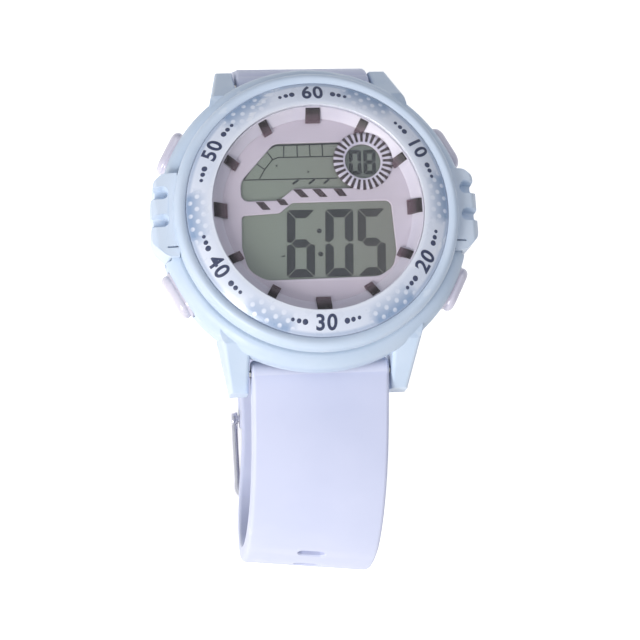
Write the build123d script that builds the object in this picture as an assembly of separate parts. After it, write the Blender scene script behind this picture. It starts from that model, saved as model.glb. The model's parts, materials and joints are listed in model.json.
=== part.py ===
from build123d import *
import math
import os

# A round digital wrist watch on a curled rubber strap, dial up.
# +X points to 3 o'clock, +Y to 12 o'clock and +Z out of the dial.
# The origin is the centre of the case back's outer face. Lengths are in millimetres.

# Angles and counts
full_turn = 360
quarter_turn = 90
both_sides = (-1, 1)

# Shared clearances
overrun = 1.0  # how far a cutting shape runs past what it cuts
seat_clearance = 0.10  # between seated pieces of one body
side_clearance = 0.35  # between pieces that turn past each other
running_clearance = 0.05  # radial, between a pin and its bore

# Driving sizes of the head in plan: the case's radius and the widths inside it
case_radius = 22.6
shoulder_width = 1.7
bezel_step = 0.25
bezel_rim = 1.85
printed_ring_width = 3.18
case_wall = 6.6
roof_lip = 0.7
dial_border = 1.7
back_lap = 2.9
seam_radius = case_radius - shoulder_width
bezel_radius = seam_radius - bezel_step
neck_outer_radius = bezel_radius - bezel_rim
opening_radius = neck_outer_radius - printed_ring_width
cavity_radius = case_radius - case_wall
neck_radius = cavity_radius - roof_lip
dial_view_radius = neck_radius - dial_border
case_back_radius = cavity_radius + back_lap

# Driving sizes of the head in height, from the case back up to the crystal
case_back_thickness = 1.5
battery_room = 1.1
battery_thickness = 1.6
contact_rise = 0.7
board_thickness = 0.8
display_rise = 2.9
lcd_thickness = 1.6
dial_thickness = 0.4
neck_rise = 0.4
gasket_thickness = 0.5
crystal_step_thickness = 0.6
crystal_rise = 1.1
battery_low = case_back_thickness + battery_room
board_low = battery_low + battery_thickness + contact_rise
board_top = board_low + board_thickness
lcd_low = board_top + display_rise
lcd_top = lcd_low + lcd_thickness
dial_height = lcd_top + dial_thickness
neck_height = dial_height + neck_rise
crystal_step_low = neck_height + gasket_thickness
crystal_step_high = crystal_step_low + crystal_step_thickness
crystal_height = crystal_step_high + crystal_rise

# Driving sizes of the case's outside in height, under the crystal and over the case back
bezel_drop = 1.1
bezel_depth = 1.8
roof_depth = 1.6
shoulder_depth = 2.9
foot_rise = 0.6
foot_inset = 1.2
cheek_rise = 2.8
bezel_height = crystal_height - bezel_drop
seam_height = neck_height - bezel_depth  # where the bezel cap meets the case
roof_height = dial_height - roof_depth  # the cavity narrows to the neck here
shoulder_start = seam_height - shoulder_depth
case_bottom = foot_rise
case_foot_radius = case_radius - foot_inset
cheek_low = case_bottom + cheek_rise

# Driving sizes of the strap
strap_gauge = 20.0
strap_tip_width = 15.4
strap_thickness = 2.6
root_knuckle_radius = 1.9
buckle_knuckle_radius = 1.75
bar_inset = 0.7  # a spring bar's axis lies this far inside the case's radius
bar_rise = 1.8
bar_reach = case_radius - bar_inset
bar_height = case_bottom + bar_rise
lug_gap = strap_gauge + 2 * side_clearance
buckle_bar_inset = 1.9
buckle_bar_y = buckle_bar_inset - bar_reach

# The four push buttons, as angles about the dial from 3 o'clock
button_angle = 28
button_angles = {
    "two_oclock": button_angle,
    "four_oclock": -button_angle,
    "eight_oclock": full_turn / 2 + button_angle,
    "ten_oclock": full_turn / 2 - button_angle,
}
button_height = board_low + seat_clearance
button_travel = 0.8


def disc(radius, low, high, x=0, y=0):
    """Upright cylinder between two heights."""
    grown = Cylinder(radius, high - low, align=(Align.CENTER, Align.CENTER, Align.MIN))
    return Pos(x, y, low) * grown


def tube(outer, inner, low, high, x=0, y=0):
    """Upright ring with a through bore."""
    return disc(outer, low, high, x, y) - disc(inner, low - overrun, high + overrun, x, y)


def block(size_x, size_y, low, high, x=0, y=0):
    """Upright box centred on x and y, between two heights."""
    grown = Box(size_x, size_y, high - low, align=(Align.CENTER, Align.CENTER, Align.MIN))
    return Pos(x, y, low) * grown


def lathe(points):
    """Solid of revolution about Z from a closed outline of (radius, height) points."""
    outline = Polyline(*[(radius, 0, height) for radius, height in points], close=True)
    return revolve(make_face(outline), Axis.Z, full_turn)


def prism_z(points, low, high):
    """Upright prism from a plan outline of (x, y) points."""
    face = make_face(Polyline(*[(x, y, low) for x, y in points], close=True))
    return extrude(face, high - low, dir=(0, 0, 1))


def prism_x(points, half_width):
    """Prism across the watch from a side outline of (y, z) points."""
    face = make_face(Polyline(*[(-half_width, y, z) for y, z in points], close=True))
    return extrude(face, 2 * half_width, dir=(1, 0, 0))


def prism_y(points, half_width):
    """Prism along the watch from a side outline of (x, z) points."""
    face = make_face(Polyline(*[(x, -half_width, z) for x, z in points], close=True))
    return extrude(face, 2 * half_width, dir=(0, 1, 0))


def rod_x(radius, start, end, y, z):
    """Cylinder along X between two x values."""
    grown = Cylinder(radius, end - start, align=(Align.CENTER, Align.CENTER, Align.MIN))
    return Pos(start, y, z) * Rot(0, quarter_turn, 0) * grown


def pill_x(length, height, start, end, y, z):
    """Prism along X with a pill-shaped section, longer in Y than in Z."""
    section = Plane((start, y, z), x_dir=(0, 1, 0), z_dir=(1, 0, 0)) * SlotOverall(length, height)
    return extrude(section, end - start, dir=(1, 0, 0))


def around(angle, shape):
    """The shape turned about the dial's axis."""
    return Rot(0, 0, angle) * shape


def four_ways(shape):
    """A shape and its mirror images across both middle planes."""
    pair = [shape, mirror(shape, Plane.YZ)]
    return pair + [mirror(each, Plane.XZ) for each in pair]


# Case middle: cheeks, shoulder, neck, lugs and button pockets
shoulder_bulge_shares = (0.72, 0.74)  # of the shoulder's width and rise
lug_length = 11.6
lug_overhang = 2.7  # past the spring bar's axis
lug_root_width = 4.25
lug_end_width = 2.65
lug_waist_run = 7.6
lug_brow_run = 6.0
lug_end_rise = 3.2
lug_droop_run = 6.7
lug_droop = 2.0  # below the case's underside
lug_brow_drop = 1.0
lug_end_y = bar_reach + lug_overhang
lug_root_y = lug_end_y - lug_length
lug_root_outer = lug_gap / 2 + lug_root_width
lug_waist_y = lug_end_y - lug_waist_run
lug_end_outer = lug_gap / 2 + lug_end_width
lug_end_low = case_bottom - lug_droop
lug_end_top = lug_end_low + lug_end_rise
lug_brow_y = lug_end_y - lug_brow_run
lug_brow_top = seam_height - lug_brow_drop
lug_edge_round = 0.6
visor_gap = 0.6
visor_height = bar_height + root_knuckle_radius + visor_gap  # underside of the shoulder above a strap root
strap_bay_y = bar_reach - root_knuckle_radius - side_clearance
bar_tip_radius = 0.5
bar_hole_radius = bar_tip_radius + running_clearance
bar_hole_depth = 1.7
button_stem_radius = 1.0
button_cap_length = 7.2
button_cap_height = 4.2
button_cap_depth = 2.05
button_cap_sink = 0.7  # the cap's back lies this far inside the case's radius
button_cap_back = case_radius - button_cap_sink
button_cap_front = button_cap_back + button_cap_depth
button_pocket_back = button_cap_back - button_travel - seat_clearance
button_pocket_gap = 0.15
spring_length = 2.7
spring_seat_back = button_cap_back - spring_length
spring_seat_radius = 1.9
guard_button_gap = 0.86
guard_half_length = (
    case_radius * math.sin(math.radians(button_angle)) - button_cap_length / 2 - guard_button_gap
)
guard_hook = 0.25
guard_back_x = seam_radius + guard_hook
guard_depth = 4.8
guard_low = seam_height - guard_depth
gasket_step_width = 0.7
gasket_step_radius = cavity_radius + gasket_step_width
gasket_step_height = 0.7
back_screw_inset = 1.2
back_screw_reach = case_back_radius - back_screw_inset
back_screw_radius = 0.6
back_screw_bite = 2.4
back_screw_depth = case_back_thickness + back_screw_bite


def lug():
    """One lug in the first quadrant, falling from the shoulder to its end."""
    inner = lug_gap / 2
    plan = prism_z(
        [
            (inner, lug_root_y),
            (lug_root_outer, lug_root_y),
            (lug_root_outer, lug_waist_y),
            (lug_end_outer, lug_end_y),
            (inner, lug_end_y),
        ],
        lug_end_low,
        seam_height,
    )
    side = prism_x(
        [
            (lug_root_y, case_bottom),
            (lug_end_y - lug_droop_run, case_bottom),
            (lug_end_y, lug_end_low),
            (lug_end_y, lug_end_top),
            (lug_brow_y, lug_brow_top),
            (lug_root_y, seam_height),
        ],
        lug_root_outer,
    )
    body = (plan & side).solids()[0]
    top_edges = body.edges().filter_by(lambda edge: edge.center().Z > lug_end_top - lug_edge_round)
    return fillet(top_edges.filter_by(lambda edge: edge.center().Y > lug_brow_y), lug_edge_round)


def button_cuts():
    """Pocket, spring seat and stem bore of one button, along +X."""
    length = button_cap_length + 2 * button_pocket_gap
    height = button_cap_height + 2 * button_pocket_gap
    front = case_radius + 2 * overrun
    cap_room = pill_x(length, height, button_pocket_back, front, 0, button_height)
    seat = rod_x(spring_seat_radius, spring_seat_back, case_radius, 0, button_height)
    bore_radius = button_stem_radius + running_clearance
    bore = rod_x(bore_radius, neck_radius, case_radius, 0, button_height)
    return cap_room + seat + bore


def back_screw_places():
    """Plan places of the four case back screws."""
    offset = back_screw_reach * math.cos(math.radians(full_turn / 8))
    return [(x * offset, y * offset) for x in both_sides for y in both_sides]


def case_middle():
    """The moulded case with its cavity, lugs, button pockets and bores."""
    bulge_radius = seam_radius + (case_radius - seam_radius) * shoulder_bulge_shares[0]
    bulge_height = shoulder_start + (seam_height - shoulder_start) * shoulder_bulge_shares[1]
    wall = Polyline(
        (seam_radius, 0, seam_height),
        (neck_radius, 0, seam_height),
        (neck_radius, 0, case_bottom),
        (case_foot_radius, 0, case_bottom),
        (case_radius, 0, cheek_low),
        (case_radius, 0, shoulder_start),
    )
    shoulder = ThreePointArc(
        (case_radius, 0, shoulder_start),
        (bulge_radius, 0, bulge_height),
        (seam_radius, 0, seam_height),
    )
    body = revolve(make_face(wall + shoulder), Axis.Z, full_turn)
    for each in four_ways(lug()):
        body += each
    body += tube(neck_outer_radius, neck_radius, shoulder_start, neck_height)
    body -= disc(cavity_radius, case_bottom - overrun, roof_height)
    body -= disc(gasket_step_radius, case_bottom, case_back_thickness + gasket_step_height)
    body -= disc(case_back_radius + seat_clearance, case_bottom - overrun, case_back_thickness)
    for angle in button_angles.values():
        body -= around(angle, button_cuts())
    bay_depth = lug_end_y + overrun - strap_bay_y
    for side in both_sides:
        bay_y = side * (strap_bay_y + bay_depth / 2)
        body -= block(lug_gap, bay_depth, case_bottom - overrun, visor_height, 0, bay_y)
        pocket_x = side * (guard_back_x - seat_clearance + case_radius / 2)
        pocket_length = 2 * (guard_half_length + 2 * seat_clearance)
        body -= block(
            case_radius, pocket_length, guard_low - seat_clearance, seam_height + overrun, pocket_x
        )
        hole_end = lug_gap / 2 + bar_hole_depth
        body -= rod_x(bar_hole_radius, -hole_end, hole_end, side * bar_reach, bar_height)
    for x, y in back_screw_places():
        body -= disc(back_screw_radius + running_clearance, 0, back_screw_depth + overrun / 2, x, y)
    return body


# Bezel cap: the rounded ring with a three-lobed guard at 3 and 9 o'clock
bezel_neck_clearance = 0.15
bezel_inner_radius = neck_outer_radius + bezel_neck_clearance
bezel_crest_width = 0.95
bezel_crest_drop = 1.3
bezel_inner_drop = 0.2
bezel_bulge_shares = (0.74, 0.65)  # of the rounding's width and rise
bezel_crest_radius = bezel_radius - bezel_crest_width
bezel_shoulder_height = bezel_height - bezel_crest_drop
bezel_inner_height = bezel_height - bezel_inner_drop
bezel_gap = 0.05  # the fine dark seam under the ring
bezel_hem = 0.25
guard_proud = 1.15
guard_tip_x = case_radius + guard_proud
guard_root_width = 0.9
guard_root_x = seam_radius - guard_root_width
guard_notch_depth = 0.4
guard_valley_x = guard_tip_x - guard_notch_depth
guard_notch_width = 1.5
guard_notch_shares = (0.54, -0.13)  # of the guard's half length
guard_scoop_inset = 0.85  # a notch's scoop starts this far inside the case's radius
guard_scoop_drop = 0.6  # its floor lies this far under the seam
guard_first_step = 0.4
guard_first_lobe_x = guard_tip_x - guard_first_step
guard_root_drop = 1.5
guard_tip_drop = 2.1
guard_side_drop = 2.8
guard_top_root = bezel_height - guard_root_drop
guard_top_tip = bezel_height - guard_tip_drop
guard_side_top = bezel_height - guard_side_drop
guard_bevel_share = 0.36  # of the guard's half length
guard_bevel = guard_half_length * guard_bevel_share
guard_round = 0.6


def bezel_ring():
    """The ring that covers the neck, rounded over its outer top edge."""
    start = seam_height + bezel_gap
    flat = Polyline(
        (bezel_crest_radius, 0, bezel_height),
        (bezel_inner_radius, 0, bezel_inner_height),
        (bezel_inner_radius, 0, start),
        (bezel_radius - bezel_hem, 0, start),
        (bezel_radius, 0, start + bezel_hem),
        (bezel_radius, 0, bezel_shoulder_height),
    )
    bulge = (
        bezel_crest_radius + bezel_crest_width * bezel_bulge_shares[0],
        0,
        bezel_shoulder_height + bezel_crest_drop * bezel_bulge_shares[1],
    )
    crest = ThreePointArc(
        (bezel_radius, 0, bezel_shoulder_height), bulge, (bezel_crest_radius, 0, bezel_height)
    )
    return revolve(make_face(flat + crest), Axis.Z, full_turn)


def guard_lobe(low_y, high_y, tip_x, bevel):
    """One lobe of a guard in plan, rounded or bevelled at its outer corners."""
    shape = block(
        tip_x - guard_root_x,
        high_y - low_y,
        guard_low,
        guard_top_root,
        (tip_x + guard_root_x) / 2,
        (high_y + low_y) / 2,
    )
    upright = shape.edges().filter_by(Axis.Z)
    outer = upright.sort_by(Axis.X)[-2:]
    lower_corner, upper_corner = outer.sort_by(Axis.Y)
    if bevel:
        shape = chamfer(lower_corner, bevel)
        upright = shape.edges().filter_by(Axis.Z).sort_by(Axis.X)[-2:]
        return fillet(upright.sort_by(Axis.Y)[-1], guard_round)
    return fillet([lower_corner, upper_corner], guard_round)


def guard_scoop(y):
    """Cutter of the shallow scoop inside one notch, rounded at its inner end."""
    low = seam_height - guard_scoop_drop
    start = case_radius - guard_scoop_inset + guard_notch_width / 2
    run = guard_tip_x + overrun - start
    scoop = block(run, guard_notch_width, low, bezel_height, start + run / 2, y)
    return scoop + disc(guard_notch_width / 2, low, bezel_height, start, y)


def guard():
    """The guard at 3 o'clock: three lobes with two notches, hooked over the case."""
    half_notch = guard_notch_width / 2
    high_notch, low_notch = [share * guard_half_length for share in guard_notch_shares]
    lobes = guard_lobe(high_notch + half_notch, guard_half_length, guard_first_lobe_x, 0)
    lobes += guard_lobe(low_notch + half_notch, high_notch - half_notch, guard_tip_x, 0)
    lobes += guard_lobe(-guard_half_length, low_notch - half_notch, guard_tip_x, guard_bevel)
    lobes += block(
        guard_valley_x - guard_root_x,
        2 * guard_half_length - guard_bevel,
        guard_low,
        guard_top_root,
        (guard_valley_x + guard_root_x) / 2,
        0,
    )
    profile = prism_y(
        [
            (guard_root_x, seam_height + bezel_gap),
            (guard_back_x, seam_height + bezel_gap),
            (guard_back_x, guard_low),
            (guard_tip_x - guard_round, guard_low),
            (guard_tip_x, guard_low + guard_round),
            (guard_tip_x, guard_side_top),
            (guard_tip_x - guard_round, guard_top_tip),
            (guard_root_x, guard_top_root),
        ],
        guard_half_length + overrun,
    )
    body = lobes & profile
    for y in (high_notch, low_notch):
        body -= guard_scoop(y)
    return body


def bezel_cap():
    """Ring and both guards in one moulding, clear of the neck."""
    right = guard()
    body = bezel_ring() + right + mirror(right, Plane.YZ)
    return body - disc(bezel_inner_radius, 0, crystal_height)


# Printed ring, crystal and gasket
printed_outer_radius = neck_outer_radius
printed_edge_drop = 1.45
printed_edge_height = crystal_height - printed_edge_drop
printed_bulge_shares = (0.55, 0.62)  # of the ring's width and rise
crystal_gap = 0.12
crystal_radius = opening_radius - crystal_gap
crystal_step_width = 0.73
crystal_step_radius = opening_radius + crystal_step_width
crystal_sink = 0.05
crystal_edge = 0.2
gasket_inner_radius = neck_radius + seat_clearance / 2


def printed_ring():
    """Sloped, slightly domed ring round the crystal."""
    relief = crystal_step_radius + seat_clearance
    rise = crystal_height - printed_edge_height
    width = printed_outer_radius - opening_radius
    bulge = (
        opening_radius + width * printed_bulge_shares[0],
        0,
        printed_edge_height + rise * printed_bulge_shares[1],
    )
    dome = ThreePointArc(
        (opening_radius, 0, crystal_height), bulge, (printed_outer_radius, 0, printed_edge_height)
    )
    foot = Polyline(
        (printed_outer_radius, 0, printed_edge_height),
        (printed_outer_radius, 0, neck_height),
        (relief, 0, neck_height),
        (relief, 0, crystal_step_high + seat_clearance / 2),
        (opening_radius, 0, crystal_step_high + seat_clearance / 2),
        (opening_radius, 0, crystal_height),
    )
    return revolve(make_face(dome + foot), Axis.Z, full_turn)


def crystal():
    """Clear stepped lens under the printed ring's lip."""
    top = crystal_height - crystal_sink
    return lathe(
        [
            (0, crystal_step_high),
            (0, top),
            (crystal_radius - crystal_edge, top),
            (crystal_radius, top - crystal_edge),
            (crystal_radius, crystal_step_high),
            (crystal_step_radius, crystal_step_high),
            (crystal_step_radius, crystal_step_low),
            (gasket_inner_radius, crystal_step_low),
            (gasket_inner_radius, crystal_step_high),
        ]
    )


def crystal_gasket():
    """Flat seal between the neck and the crystal's step."""
    return tube(crystal_step_radius, gasket_inner_radius, neck_height, crystal_step_low)


# Dial flange, hour markers, dial plate and seconds ring
flange_outer_radius = neck_radius - seat_clearance
flange_crystal_gap = 0.15
flange_top = crystal_step_high - flange_crystal_gap
flange_lip = 0.2
flange_foot = 0.15
marker_count = 12
marker_dial_length = 0.7
marker_inner_radius = dial_view_radius - marker_dial_length
marker_thickness = 0.3
marker_width = 1.3
marker_wide = 2.1
marker_clearance = 0.06
main_window_shares = [
    (-0.80, -0.08), (-0.77, -0.03), (-0.395, -0.03), (-0.25, 0.08), (0.77, 0.08), (0.805, 0.035),
    (0.805, -0.49), (0.745, -0.645), (0.575, -0.745), (-0.58, -0.755), (-0.795, -0.575),
]
upper_window_shares = [
    (-0.775, 0.107), (-0.795, 0.165), (-0.755, 0.345), (-0.42, 0.725), (0.28, 0.735),
    (0.32, 0.52), (0.246, 0.238), (-0.255, 0.238), (-0.433, 0.10),
]
small_window_shares = (0.51, 0.52)
small_window_radius = 2.6
small_ring_radius = 4.25
small_ring_thickness = 0.25
small_ring_margin = 0.35


def dial_places(shares):
    """Plan points from shares of the dial's visible radius."""
    return [(x * dial_view_radius, y * dial_view_radius) for x, y in shares]


def seconds_ring_room():
    """Room for the seconds ring in what lies round it."""
    x, y = dial_places([small_window_shares])[0]
    radius = small_ring_radius + seat_clearance
    return disc(radius, dial_height - overrun, dial_height + overrun, x, y)


def dial_flange():
    """Sloped ring between the crystal and the dial, cut away for the seconds ring."""
    slope = lathe(
        [
            (flange_outer_radius, dial_height),
            (flange_outer_radius, flange_top),
            (flange_outer_radius - flange_lip, flange_top),
            (dial_view_radius, dial_height + flange_foot),
            (dial_view_radius, dial_height),
        ]
    )
    return slope - seconds_ring_room()


def hour_marker(width):
    """One baton at 3 o'clock, lying on the dial and up the flange's slope."""
    slope_top = flange_outer_radius - flange_lip
    foot = dial_view_radius - marker_clearance
    outline = [
        (marker_inner_radius, dial_height),
        (foot, dial_height),
        (foot, dial_height + flange_foot + marker_clearance),
        (slope_top - marker_clearance, flange_top),
        (slope_top - marker_thickness, flange_top),
        (foot - marker_thickness / 2, dial_height + flange_foot + marker_thickness),
        (marker_inner_radius, dial_height + marker_thickness),
    ]
    return prism_y(outline, width / 2)


def hour_markers():
    """Twelve batons, the quarter hours wider."""
    quarter = marker_count // 4
    batons = []
    for hour in range(marker_count):
        width = marker_wide if hour % quarter == 0 else marker_width
        baton = around(hour * full_turn / marker_count, hour_marker(width))
        batons.append(baton - seconds_ring_room())
    return batons


def dial_plate():
    """Thin plate with the main, upper and seconds windows."""
    low = dial_height - dial_thickness
    body = disc(flange_outer_radius, low, dial_height)
    small_x, small_y = dial_places([small_window_shares])[0]
    keep = disc(small_ring_radius + small_ring_margin, low, dial_height, small_x, small_y)
    upper = prism_z(dial_places(upper_window_shares), low - overrun, dial_height + overrun)
    body -= prism_z(dial_places(main_window_shares), low - overrun, dial_height + overrun)
    body -= upper - keep
    reach = dial_height + overrun
    return body - disc(small_window_radius, low - overrun, reach, small_x, small_y)


def seconds_ring():
    """Raised ring round the small round window."""
    small_x, small_y = dial_places([small_window_shares])[0]
    top = dial_height + small_ring_thickness
    return tube(small_ring_radius, small_window_radius, dial_height, top, small_x, small_y)


# Display stack: liquid crystal cell, light guide, lamp and contact strips
module_radius = cavity_radius - 2 * seat_clearance
module_neck_radius = neck_radius - 2 * seat_clearance
lcd_half_shares = (0.768, 0.742)  # of the module neck's radius
lcd_corner_share = 0.2587  # of the cell's half width
lcd_half_x = module_neck_radius * lcd_half_shares[0]
lcd_half_y = module_neck_radius * lcd_half_shares[1]
lcd_corner = lcd_half_x * lcd_corner_share
ledge = 0.6
guide_side_rim = 1.9
guide_end_rim = 2.2
guide_x = 2 * (lcd_half_x - guide_side_rim)
guide_y = 2 * (lcd_half_y - guide_end_rim)
guide_thickness = 1.2
strip_end_reach = 0.2  # into the corners that the ledge cuts
strip_length = 2 * (lcd_half_x - ledge - lcd_corner + strip_end_reach)
strip_width = 1.3
strip_gap = 0.15
strip_y = guide_y / 2 + strip_gap + strip_width / 2
lamp_x = 0.9
lamp_y = 3.0
board_rim = 1.7
board_radius = module_radius - board_rim


def octagon(half_x, half_y, corner, low, high):
    """Rectangular prism with cut corners."""
    corners = []
    for x, y in ((1, 1), (-1, 1), (-1, -1), (1, -1)):
        flank = (x * half_x, y * (half_y - corner))
        crown = (x * (half_x - corner), y * half_y)
        corners += [flank, crown] if x * y > 0 else [crown, flank]
    return prism_z(corners, low, high)


def lcd_cell():
    """Glass cell of the display."""
    return octagon(lcd_half_x, lcd_half_y, lcd_corner, lcd_low, lcd_top)


def light_guide():
    """Clear plate under the cell."""
    return block(guide_x, guide_y, lcd_low - guide_thickness, lcd_low)


def backlight_lamp():
    """Lamp on the board beside the light guide."""
    return block(lamp_x, lamp_y, board_top, lcd_low - seat_clearance, (guide_x + lamp_x) / 2)


def contact_strips():
    """Rubber connectors from the board to the cell, one at 12 and one at 6 o'clock."""
    return [
        block(strip_length, strip_width, board_top, lcd_low, 0, side * strip_y)
        for side in both_sides
    ]


# Module frame, circuit board and what is on it
module_neck_low = roof_height - seat_clearance
notch_width = 4.4
notch_inner = board_radius + seat_clearance
notch_half_height = 2.2
notch_high = button_height + notch_half_height
module_screw_rim = 0.8
module_screw_reach = module_radius - module_screw_rim
module_screw_angles = (60, 120, 240, 300)
module_screw_radius = 0.45
module_screw_bite = 1.5
module_screw_top = board_low + module_screw_bite
chip_radius = 3.0
chip_height = 0.9
chip_round = 0.6
chip_share = 0.248  # of the board's radius, towards 9 o'clock
chip_x = -board_radius * chip_share
can_radius = 0.75
can_length = 5.0
can_shares = (0.461, -0.2837)  # of the board's radius
can_x = board_radius * can_shares[0]
can_y = board_radius * can_shares[1]
contact_thickness = 0.15
contact_width = 3.0
contact_high = notch_high - 3 * seat_clearance
contact_low = button_height - notch_half_height + 4 * seat_clearance


def button_notches():
    """Room in the module for the four button stems and their contacts."""
    length = module_radius - notch_inner + overrun
    shape = block(length, notch_width, notch_low - overrun, notch_high, notch_inner + length / 2)
    return [around(angle, shape) for angle in button_angles.values()]


def module_screw_places():
    """Plan places of the module's screws."""
    places = []
    for angle in module_screw_angles:
        turn = math.radians(angle)
        places.append((module_screw_reach * math.cos(turn), module_screw_reach * math.sin(turn)))
    return places


def module_frame():
    """Moulded frame that holds the display stack over the board."""
    body = disc(module_radius, board_low, module_neck_low)
    body += disc(module_neck_radius, module_neck_low, lcd_top)
    grown_x = lcd_half_x + seat_clearance
    grown_y = lcd_half_y + seat_clearance
    body -= octagon(grown_x, grown_y, lcd_corner, lcd_low, lcd_top + overrun)
    body -= octagon(lcd_half_x - ledge, lcd_half_y - ledge / 2, lcd_corner, board_low, lcd_top)
    body -= disc(board_radius + seat_clearance, board_low - overrun, board_top)
    for notch in button_notches():
        body -= notch
    for x, y in module_screw_places():
        top = module_screw_top + seat_clearance
        body -= disc(module_screw_radius + running_clearance, board_low - overrun, top, x, y)
    return body


def circuit_board():
    """Round printed circuit board."""
    return disc(board_radius, board_low, board_top)


def control_chip():
    """Domed chip cover on the board's upper face."""
    shape = disc(chip_radius, board_top, board_top + chip_height, chip_x, 0)
    return fillet(shape.edges().group_by(Axis.Z)[-1], chip_round)


def quartz_can():
    """Quartz resonator can lying on the board."""
    half = can_length / 2
    return rod_x(can_radius, can_x - half, can_x + half, can_y, board_top + can_radius)


def button_contacts():
    """Leaf contacts that the four stems press."""
    middle = notch_inner + seat_clearance / 2 + contact_thickness / 2
    leaf = block(contact_thickness, contact_width, contact_low, contact_high, middle)
    return [around(angle, leaf) for angle in button_angles.values()]


# Battery, its holder and clip, and the module's screws
battery_board_rim = 4.1
battery_radius = board_radius - battery_board_rim
holder_lip = 0.4
holder_low = battery_low - holder_lip
holder_top = board_low
notch_low = holder_low
pocket_top = battery_low + battery_thickness + seat_clearance
battery_step = 0.35
contact_hole_radius = 2.0
cone_outer = 1.6
cone_inner = 0.7
cone_wall = 0.2
clip_width = 6.0
clip_ear = 2.8
clip_length = 2 * (battery_radius + clip_ear)
clip_thickness = 0.3
clip_screw_offset = 1.7
clip_screw_reach = battery_radius + clip_screw_offset
clip_screw_radius = 0.4
clip_screw_top = battery_low + battery_thickness
clip_head_radius = 0.8
clip_head_height = 0.15
module_head_radius = 0.85
module_head_height = 0.45
buzzer_pin_offset = 2.2
buzzer_pin_x = battery_radius + buzzer_pin_offset
buzzer_pin_radius = 0.5


def battery_holder():
    """Lower half of the module, with the battery pocket open downwards."""
    body = disc(module_radius, holder_low, holder_top)
    body -= disc(battery_radius + 2 * seat_clearance, holder_low - overrun, pocket_top)
    body -= disc(contact_hole_radius, holder_low, holder_top + overrun)
    clip_room_x = clip_width + 2 * seat_clearance
    clip_room_y = clip_length + 2 * seat_clearance
    body -= block(clip_room_x, clip_room_y, holder_low - overrun, battery_low)
    for notch in button_notches():
        body -= notch
    for x, y in module_screw_places():
        head_room = module_head_radius + seat_clearance
        body -= disc(module_screw_radius + running_clearance, holder_low, holder_top + overrun, x, y)
        body -= disc(head_room, holder_low - overrun, holder_low + module_head_height, x, y)
    for side in both_sides:
        hole_radius = clip_screw_radius + running_clearance
        hole_y = side * clip_screw_reach
        body -= disc(hole_radius, holder_low, clip_screw_top + seat_clearance, 0, hole_y)
    pin_room = buzzer_pin_radius + seat_clearance
    return body - disc(pin_room, holder_low - overrun, holder_top + overrun, buzzer_pin_x, 0)


def battery_cell():
    """Coin cell with its stepped rim."""
    step_radius = battery_radius - 2 * battery_step
    top = battery_low + battery_thickness
    lower = disc(battery_radius, battery_low, top - battery_step)
    return lower + disc(step_radius, top - battery_step, top)


def battery_contact():
    """Cone spring between the board and the cell."""
    low = battery_low + battery_thickness
    return lathe(
        [
            (cone_inner, low),
            (cone_inner + cone_wall, low),
            (cone_outer, board_low),
            (cone_outer - cone_wall, board_low),
        ]
    )


def battery_clip():
    """Steel strap under the cell."""
    low = battery_low - clip_thickness
    body = block(clip_width, clip_length, low, battery_low)
    for side in both_sides:
        hole_radius = clip_screw_radius + running_clearance
        body -= disc(hole_radius, low - overrun, battery_low + overrun, 0, side * clip_screw_reach)
    return body


def clip_screws():
    """Two small screws through the clip's ends."""
    low = battery_low - clip_thickness
    screws = []
    for side in both_sides:
        y = side * clip_screw_reach
        head = disc(clip_head_radius, low - clip_head_height, low, 0, y)
        screws.append(head + disc(clip_screw_radius, low, clip_screw_top, 0, y))
    return screws


def module_screws():
    """Four screws that join the holder to the frame."""
    screws = []
    for x, y in module_screw_places():
        seat = holder_low + module_head_height
        head = disc(module_head_radius, holder_low, seat, x, y)
        screws.append(head + disc(module_screw_radius, seat, module_screw_top, x, y))
    return screws


# Case back, its gasket and screws, and the buzzer on its inner face
back_edge = 0.35
back_groove_inset = 4.3
back_groove_radius = case_back_radius - back_groove_inset
back_groove_width = 0.35
back_groove_depth = 0.15
back_head_radius = 0.95
back_head_depth = 0.6
back_head_sink = 0.06
cross_width = 0.28
cross_depth = 0.3
buzzer_rim = 2.6
buzzer_radius = cavity_radius - buzzer_rim
buzzer_thickness = 0.2
ceramic_rim = 4.9
ceramic_radius = buzzer_radius - ceramic_rim
ceramic_thickness = 0.2


def case_back():
    """Steel plate with a fine turned groove and four countersunk holes."""
    shape = disc(case_back_radius, 0, case_back_thickness)
    shape = chamfer(shape.edges().group_by(Axis.Z)[0], back_edge)
    groove_outer = back_groove_radius + back_groove_width
    shape -= tube(groove_outer, back_groove_radius, -overrun, back_groove_depth)
    for x, y in back_screw_places():
        shape -= disc(back_screw_radius + running_clearance, 0, case_back_thickness + overrun, x, y)
        shape -= disc(back_head_radius + running_clearance, -overrun, back_head_depth, x, y)
    return shape


def case_back_screws():
    """Four screws with cross recesses."""
    screws = []
    for x, y in back_screw_places():
        head = disc(back_head_radius, back_head_sink, back_head_depth, x, y)
        screw = head + disc(back_screw_radius, back_head_depth, back_screw_depth, x, y)
        arm = 2 * back_head_radius - 2 * cross_width
        for size_x, size_y in ((arm, cross_width), (cross_width, arm)):
            screw -= block(size_x, size_y, -overrun, back_head_sink + cross_depth, x, y)
        screws.append(screw)
    return screws


def back_gasket():
    """Flat seal in the case's step."""
    outer = gasket_step_radius - running_clearance
    inner = cavity_radius + running_clearance
    top = case_back_thickness + gasket_step_height - running_clearance
    return tube(outer, inner, case_back_thickness, top)


def buzzer_plate():
    """Brass disc glued to the case back's inner face."""
    return disc(buzzer_radius, case_back_thickness, case_back_thickness + buzzer_thickness)


def buzzer_ceramic():
    """Ceramic disc on the brass one."""
    low = case_back_thickness + buzzer_thickness
    return disc(ceramic_radius, low, low + ceramic_thickness)


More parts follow.
